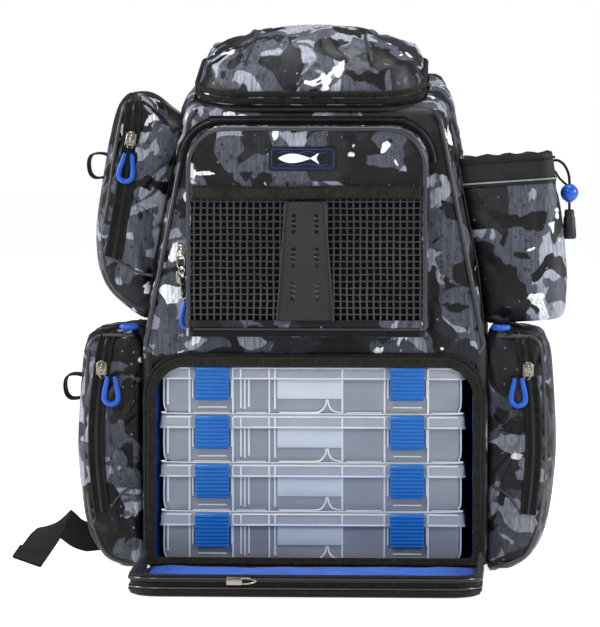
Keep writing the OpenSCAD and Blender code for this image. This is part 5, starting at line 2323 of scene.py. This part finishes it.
@dataclass
class Door:
    """The drop-down bay door: outer cloth, blue lining, bound rim with its zip and a cloth hinge."""

    half: float = 154
    radius: float = 26

    def plan(self, inset: float, near: float, step: float = 3) -> list[Vector]:
        """The door's outline from above, round its far corners, from one hinge end to the other.

        Args:
            inset: how far it is drawn in.
            near: where it ends at the hinge.
            step: distance between its points.

        Returns:
            The points.
        """
        r = self.radius - inset
        y0 = -313.1 + inset
        flat = (
            [(self.half - inset, near)]
            + [(x, y) for x, y in arc(self.half - inset - r, y0 + r, r, 0, -90, 10)]
            + [(x, y) for x, y in arc(-self.half + inset + r, y0 + r, r, -90, -180, 10)]
            + [(-self.half + inset, near)]
        )
        return even([vec(x, y, 0) for x, y in flat], step)

    def build(self) -> None:
        """Makes the pieces."""
        near = -126.6
        top = node_box("door_rim")[1].z
        base = Sculpt("door_cloth")
        ring = self.plan(0.6, near, 4)
        centre = vec(0, -215, 0)
        rings = []
        for z, grow in (
            (0.8, 0.03), (0.7, 0.3), (0.6, 0.6), (0.5, 0.9), (0.4, 0.975), (1.6, 0.996), (3.0, 1.0),
            (4.4, 0.996), (4.8, 0.97), (4.9, 0.6), (4.9, 0.03)
        ):
            rings.append(
                [
                    vec(
                        centre.x + (p.x - centre.x) * grow, centre.y + (p.y - centre.y) * grow, z
                    ) for p in ring
                ]
            )
        base.skin(rings)
        base.place(NYLON, "door", replaces=["door_panel"])
        lining = Sculpt("door_lining_cloth")
        rows = []
        for y in np.linspace(-306.5, near, 40):
            row = []
            for x in np.linspace(-147, 147, 64):
                edge = min(1.0, (147 - abs(x)) / 14, (y + 306.5) / 14 + 0.02)
                row.append(
                    vec(
                        x, y,
                        5.2 + 1.5 * max(0, edge) * (0.8 + noise.noise(vec(x, y, 0) / 38))
                        + 0.5 * noise.noise(vec(x, y, 4) / 12)
                    )
                )
            rows.append(row)
        lining.skin(rows, caps=False, ring_closed=False)
        lining.place(LINING, "door", replaces=["door_lining"], wall=0.8, closed=False)
        wall = Sculpt("door_rim_wall")
        path = self.plan(3.0, near)
        wall.sweep(
            [p + vec(0, 0, (top + 4.6) / 2) for p in path], band_section(top - 5.4, 1.6, 0.5), vec(0, 0, 1)
        )
        wall.place(NYLON, "door", replaces=["door_rim"])
        for name, z, inset, width, thick, finish in (
            ("door_binding_top", top - 1.6, 2.4, 3.4, 4.6, BINDING),
            ("door_binding_low", 5.4, 1.2, 4.4, 3.6, BINDING)
        ):
            work = Sculpt(name)
            work.sweep(
                [p + vec(0, 0, z) for p in self.plan(inset, near)], band_section(width, thick, 1.3),
                vec(0, 0, 1)
            ).place(finish, "door")
        flat_strip(
            "door_zip_tape", [p + vec(0, 0, 11.6) for p in self.plan(1.6, near)], (8.6, 0.9, 0.3),
            vec(0, 0, 1), TAPE, "door"
        )
        Sculpt("door_zip_coil").coil(
            [p + vec(0, 0, 15) for p in self.plan(-0.2, near)], vec(0, 0, 1), 3.0, 1.9, 2.2
        ).place(COIL, "door", replaces=["door_zip_chain"])
        for name, z in (("door_piping_low", 8.2), ("door_piping_top", top - 3.6)):
            Sculpt(name).sweep(
                [p + vec(0, 0, z) for p in self.plan(0.2, near)], round_section(0.8, 8), vec(0, 0, 1)
            ).place(PIPING, "door")
        cloth = Sculpt("door_hinge_cloth")
        rows = [
            [
                vec(x, near - 1 + 7.0 * t, 3.6 - 1.2 * math.sin(math.pi * t))
                for x in np.linspace(-142, 142, 40)
            ] for t in np.linspace(0, 1, 8)
        ]
        cloth.skin(rows, caps=False, ring_closed=False)
        piece = cloth.place(LINING, "", wall=0.9, closed=False)
        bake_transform(piece)


# ---- Harness -----------------------------------------------------------------------------


@dataclass
class Harness:
    """Back pads, shoulder straps, sternum strap, carry handle and waist belt."""

    back: float = 90
    pad: float = 14
    strap_x: float = 72

    def build(self) -> None:
        """Makes the pieces."""
        self.pads()
        self.straps()
        self.sternum()
        self.handle()
        self.belt()

    def pads(self) -> None:
        """Quilted spacer-mesh pads on the back."""
        shapes = [
            ("pad_left", arch(-96, -8, 120, 400, 22, 14)), ("pad_right", arch(8, 96, 120, 400, 22, 14)),
            ("pad_lumbar", arch(-100, 100, 24, 108, 18, 18))
        ]
        for name, outline in shapes:
            work = pillow(
                name, [(x, z) for x, z in outline], self.back + 0.4, self.back + self.pad - 2.4, 5.2, 5,
                crown=0
            )
            piece = work.place(MESH3D, replaces=["back_pad"] if name == "pad_left" else ())
            zs = (165, 210, 255, 300, 345) if "lumbar" not in name else (66,)
            ROOM.add(
                piece,
                lambda p, zs=zs: 1.0 if p.y < self.back + 4
                else (0.8 if any(abs(p.z - z) < 3 for z in zs) else 0.05),
                cap=4.5, pressure=6, slack=0.02
            )
            x0, x1 = min(p[0] for p in outline), max(p[0] for p in outline)
            for z in zs:
                flat_strip(
                    f"{name}_channel_{z}",
                    [vec(x, self.back + self.pad - 1.4, z) for x in np.linspace(x0 + 4, x1 - 4, 20)],
                    (2.2, 1.0, 0.4), vec(0, 0, 1), NYLON
                )
            ring = even([vec(x, self.back + 3, z) for x, z in outline], 4, True)
            c = sum(ring, Vector()) / len(ring)
            Sculpt(f"{name}_binding").sweep(
                ring, round_section(1.9), lambda i, ring=ring, c=c: ring[i] - c, loop=True
            ).place(NYLON)

    def middle(self, t: float) -> Flat:
        """Middle line of a shoulder strap, side on."""
        return self.back + self.pad + 7.5 + 34 * math.sin(math.pi * t) ** 0.8, 118 + 300 * t

    def straps(self) -> None:
        """Curved padded shoulder straps, bound at the edge, with webbing and ladder locks."""
        for side, name in ((-1, "left"), (1, "right")):
            work = Sculpt(f"shoulder_strap_{name}_pad")
            rings = []
            path = [self.middle(t) for t in np.linspace(0, 1, 64)]
            section = [
                (
                    math.copysign(abs(math.cos(a)) ** 0.5, math.cos(a)),
                    math.copysign(abs(math.sin(a)) ** 0.7, math.sin(a))
                )
                for a in np.linspace(0, 2 * math.pi, 33)[:-1]
            ]
            for i, (y, z) in enumerate(path):
                t = i / 63
                a, b = path[max(0, i - 1)], path[min(63, i + 1)]
                tan = Vector((b[0] - a[0], b[1] - a[1])).normalized()
                shape = min(1, 10 * t + 0.35, 10 * (1 - t) + 0.35)
                wide = (33.6 - 6 * (1 - t) ** 2) * shape**0.35
                thick = 6.2 * shape**0.3
                bend = 3.0 * math.sin(math.pi * t) * side
                rings.append(
                    [
                        vec(
                            side * self.strap_x + bend + s * wide,
                            y - tan.y * r * thick * (1 - 0.12 * abs(s) ** 4), z + tan.x * r * thick
                        ) for s,
                        r in section
                    ]
                )
            work.skin(rings)
            piece = work.place(MESH3D, replaces=[f"shoulder_strap_{name}"])
            for s in (-1, 1):
                line = []
                for i, (y, z) in enumerate(path[2:-2]):
                    t = (i + 2) / 63
                    shape = min(1, 10 * t + 0.35, 10 * (1 - t) + 0.35)
                    wide = (33.6 - 6 * (1 - t) ** 2) * shape**0.35
                    line.append(
                        vec(
                            side * self.strap_x + 3.0 * math.sin(math.pi * t) * side + s * (wide - 0.6), y,
                            z
                        )
                    )
                flat_strip(
                    f"strap_{name}_binding_{'a' if s < 0 else 'b'}", line, (5.4, 3.0, 1.0), vec(0, 1, 0),
                    BINDING
                )
            face = [
                vec(
                    side * self.strap_x + 3.0 * math.sin(math.pi * t) * side, self.middle(t)[0] + 6.8,
                    self.middle(t)[1]
                )
                for t in np.linspace(0.07, 0.93, 50)
            ]
            flat_strip(f"strap_{name}_webbing", face, (25, 1.6, 0.5), vec(1, 0, 0), WEBBING)
            for t in (0.3, 0.5, 0.7):
                y, z = self.middle(t)
                bar = Sculpt(f"strap_{name}_keeper_{int(t * 10)}")
                bar.box(
                    (side * self.strap_x + side * 2.6 - 16, y + 6.8, z - 3),
                    (side * self.strap_x + side * 2.6 + 16, y + 9.2, z + 3), 0.8
                ).place(WEBBING)
            tail = curve(
                [
                    vec(side * self.strap_x, 107.5, 84), vec(side * self.strap_x, 108.2, 96),
                    vec(side * self.strap_x, 109, 106), vec(side * self.strap_x, 110, 124)
                ],
                2
            )
            flat_strip(
                f"strap_{name}_lower", tail, (25, 1.6, 0.5), vec(1, 0, 0), WEBBING,
                replaces=["strap_webbing"] if side < 0 else ()
            )
            lock = Sculpt(f"strap_{name}_ladder")
            x = side * self.strap_x
            for z0, z1 in ((86, 91), (96.5, 101.5), (107, 112)):
                lock.box((x - 17, 109.6, z0), (x + 17, 113.6, z1), 1.2)
            for s in (-1, 1):
                lock.box((x + s * 15.2 - 1.8, 109.6, 86), (x + s * 15.2 + 1.8, 113.6, 112), 1.2)
            lock.place(PLASTIC)
            top = curve(
                [
                    vec(x, self.back + 0.6, 424), vec(x, self.back + 8, 423), vec(x, self.back + 18, 420),
                    vec(x, self.back + 24, 412)
                ],
                2
            )
            flat_strip(f"strap_{name}_anchor", top, (40, 2.0, 0.6), vec(1, 0, 0), WEBBING)

    def sternum(self) -> None:
        """The sternum strap and its clip."""
        lo, hi = node_box("sternum_strap")
        y, z = lo.y + 3.6, (lo.z + hi.z) / 2
        path = curve(
            [vec(-40, y, z), vec(-24, y - 1.0, z), vec(0, y - 1.4, z), vec(24, y - 1.0, z), vec(40, y, z)],
            2
        )
        flat_strip("sternum_webbing", path, (19, 1.6, 0.5), vec(0, 0, 1), WEBBING, replaces=["sternum_strap"])
        clip = Sculpt("sternum_clip")
        clip.prism(arch(-21, 6, z - 12, z + 12, 4, 4), y - 3.2, y + 5.0, 1.6)
        clip.prism([(6, z - 9), (21, z - 11), (21, z + 11), (6, z + 9)], y - 2.2, y + 4.2, 1.2)
        for s in (-1, 1):
            clip.box((-10, y + 4.2, z + s * 7 - 2), (4, y + 5.8, z + s * 7 + 2), 0.6)
        clip.place(PLASTIC, sharp=40)

    def handle(self) -> None:
        """The carry handle: folded webbing with a padded grip."""
        y = 95
        path = curve(
            [
                vec(-43.4, y, 428), vec(-43.4, y, 446), vec(-38, y, 459), vec(-22, y, 465.4),
                vec(0, y, 466.2), vec(22, y, 465.4), vec(38, y, 459), vec(43.4, y, 446), vec(43.4, y, 428)
            ],
            2
        )
        flat_strip("handle_webbing", path, (23.4, 2.6, 0.9), vec(0, 1, 0), WEBBING, replaces=["carry_handle"])
        grip = [p for p in path if abs(p.x) < 27 and p.z > 455]
        n = len(grip)
        Sculpt("handle_grip").sweep(
            grip, [(a * 12.4, b * 3.0) for a, b in round_section(1, 20)], vec(0, 1, 0),
            scale=lambda i: 0.9 + 0.1 * math.sin(math.pi * i / n)
        ).place(NYLON)
        for s in (-1, 1):
            patch = Sculpt(f"handle_anchor_{'left' if s < 0 else 'right'}")
            patch.box((s * 43.4 - 8, 84, 426), (s * 43.4 + 8, 107, 433.4), 1.4).place(WEBBING)

    def belt(self) -> None:
        """Padded belt wings, the loose webbing on the left and the buckle on the right."""
        for side, name in ((-1, "left"), (1, "right")):
            outline = arch(min(side * 44, side * 128), max(side * 44, side * 128), 28, 84, 12, 12)
            work = pillow(f"waist_belt_{name}_pad", outline, 107.4, 116, 3.6, 4, crown=0)
            piece = work.place(MESH3D, replaces=[f"waist_belt_{name}"])
            flat_strip(
                f"belt_{name}_webbing", [vec(side * x, 117.2, 62) for x in np.linspace(46, 131, 40)],
                (28, 1.6, 0.5), vec(0, 0, 1), WEBBING
            )
        pts = [
            (-126, 117, 62), (-140, 112, 56), (-152, 106, 44), (-170, 98, 29), (-188, 88, 17.5),
            (-205, 75, 12), (-219, 58, 12.5), (-229, 38, 18), (-236, 18, 27), (-241, 0, 33),
            (-245.5, -18, 32), (-250, -36, 26), (-256, -54, 17), (-261.5, -69, 9), (-265, -80, 4)
        ]
        sides = [
            (0, 0.1, 1), (0, 0.1, 1), (0, 0.2, 1), (0.1, 0.3, 1), (0.2, 0.5, 1), (0.3, 0.7, 0.8),
            (0.4, 0.7, 0.6), (0.6, 0.7, 0.4), (0.8, 0.5, 0.2), (0.9, 0.4, 0.1), (0.9, 0.4, 0),
            (0.9, 0.4, 0), (0.9, 0.4, 0), (0.9, 0.4, 0), (0.9, 0.4, 0)
        ]
        path, across = curve(pts, 3), curve(sides, 0.02)
        pick = lambda i: across[min(len(across) - 1, round(i * (len(across) - 1) / (len(path) - 1)))]
        flat_strip("belt_tail", path, (28, 1.7, 0.5), pick, WEBBING)
        end = path[-7:]
        flat_strip(
            "belt_tail_fold", [p + vec(-0.3, -0.4, 1.5) for p in end], (28, 1.6, 0.5), vec(0.9, 0.4, 0),
            WEBBING
        )
        lo, hi = vec(128.4, 109, 48), vec(150, 117, 88)
        buckle = Sculpt("belt_buckle")
        buckle.box((lo.x, lo.y, lo.z), (134, hi.y, hi.z), 1.6)
        buckle.box((144, lo.y, lo.z), (hi.x, hi.y, hi.z), 1.6)
        for z0, z1 in ((lo.z, 53.6), (82.4, hi.z)):
            buckle.box((131, lo.y, z0), (147, hi.y, z1), 1.6)
        buckle.place(PLASTIC)


# ---- Stage -------------------------------------------------------------------------------


@dataclass
class Stage:
    """A pale floor, soft lamps and the camera."""

    aim: Point = (-0.013, -0.104, 0.2345)
    azimuth: float = 2.5
    elevation: float = 3.2
    distance: float = 4.5
    lens: float = 291.0

    def build(self) -> None:
        """Makes the floor, lamps, world and camera."""
        scene = bpy.context.scene
        g = Graph("pale_floor")
        tone = g.noise(g.place(), 1.5, 2)
        seen = g.node("LightPath").outputs["Is Camera Ray"]
        glow = g.sums("ADD", g.sums("MULTIPLY", seen, 0.5), 0.35)
        g.close(
            g.node(
                "BsdfPrincipled",
                {
                    "Base Color": g.mix(tone, rgb(246, 246, 246), rgb(250, 250, 250)), "Roughness": 0.7,
                    "Specular IOR Level": 0.2, "Emission Color": (1, 1, 1, 1), "Emission Strength": glow
                }
            )
        )
        mesh = bpy.data.meshes.new("floor")
        bm = bmesh.new()
        bm.faces.new([bm.verts.new((x, y, -0.0006)) for x, y in ((-9, -9), (9, -9), (9, 9), (-9, 9))])
        bm.to_mesh(mesh)
        bm.free()
        mesh.shade_smooth()
        floor = bpy.data.objects.new("floor", mesh)
        mesh.materials.append(g.material)
        scene.collection.objects.link(floor)
        world = bpy.data.worlds.new("studio")
        world.use_nodes = True
        nodes, links = world.node_tree.nodes, world.node_tree.links
        nodes["Background"].inputs["Color"].default_value = (1, 1, 1, 1)
        ray = nodes.new("ShaderNodeLightPath")
        share = nodes.new("ShaderNodeMapRange")
        share.inputs["To Min"].default_value, share.inputs["To Max"].default_value = 0.13, 1.0
        links.new(ray.outputs["Is Camera Ray"], share.inputs["Value"])
        links.new(share.outputs[0], nodes["Background"].inputs["Strength"])
        scene.world = world
        lamps = (
            ("key", (-0.9, -2.4, 2.1), 0.7, 33), ("fill", (1.5, -2.3, 1.0), 0.8, 11),
            ("side_left", (-1.9, -0.3, 0.8), 0.6, 30), ("side_right", (1.9, -0.3, 0.9), 0.6, 30),
            ("top", (0.1, 0.1, 2.3), 0.9, 26)
        )
        for name, at, size, power in lamps:
            data = bpy.data.lights.new(name, "AREA")
            data.size, data.energy = size, power
            lamp = bpy.data.objects.new(name, data)
            lamp.location = at
            lamp.rotation_euler = (Vector((0, -0.05, 0.22)) - Vector(at)).to_track_quat("-Z", "Y").to_euler()
            scene.collection.objects.link(lamp)
        data = bpy.data.cameras.new("camera")
        data.lens, data.sensor_width, data.sensor_fit = self.lens, 36, "HORIZONTAL"
        data.clip_end = 50
        camera = bpy.data.objects.new("camera", data)
        a, e = math.radians(self.azimuth), math.radians(self.elevation)
        target = Vector((0, 0, 0.25))
        camera.location = target + self.distance * Vector(
            (math.sin(a) * math.cos(e), -math.cos(a) * math.cos(e), math.sin(e))
        )
        camera.rotation_euler = (Vector(self.aim) - camera.location).to_track_quat("-Z", "Y").to_euler()
        scene.collection.objects.link(camera)
        scene.camera = camera
        scene.view_settings.view_transform = "Standard"


def main() -> None:
    """Builds the whole scene."""
    logging.basicConfig(level=logging.INFO, format="%(message)s")
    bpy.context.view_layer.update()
    Stage().build()
    parts = [Shell(), Lid(), Bay(), Flap(), Zips(), Pouches(), Door(), Harness()]
    parts += [TackleBox(n) for n in range(1, 5)]
    for part in parts:
        part.build()
        log.info("built %s", type(part).__name__)
    ROOM.run()


if __name__ == "__main__":
    main()
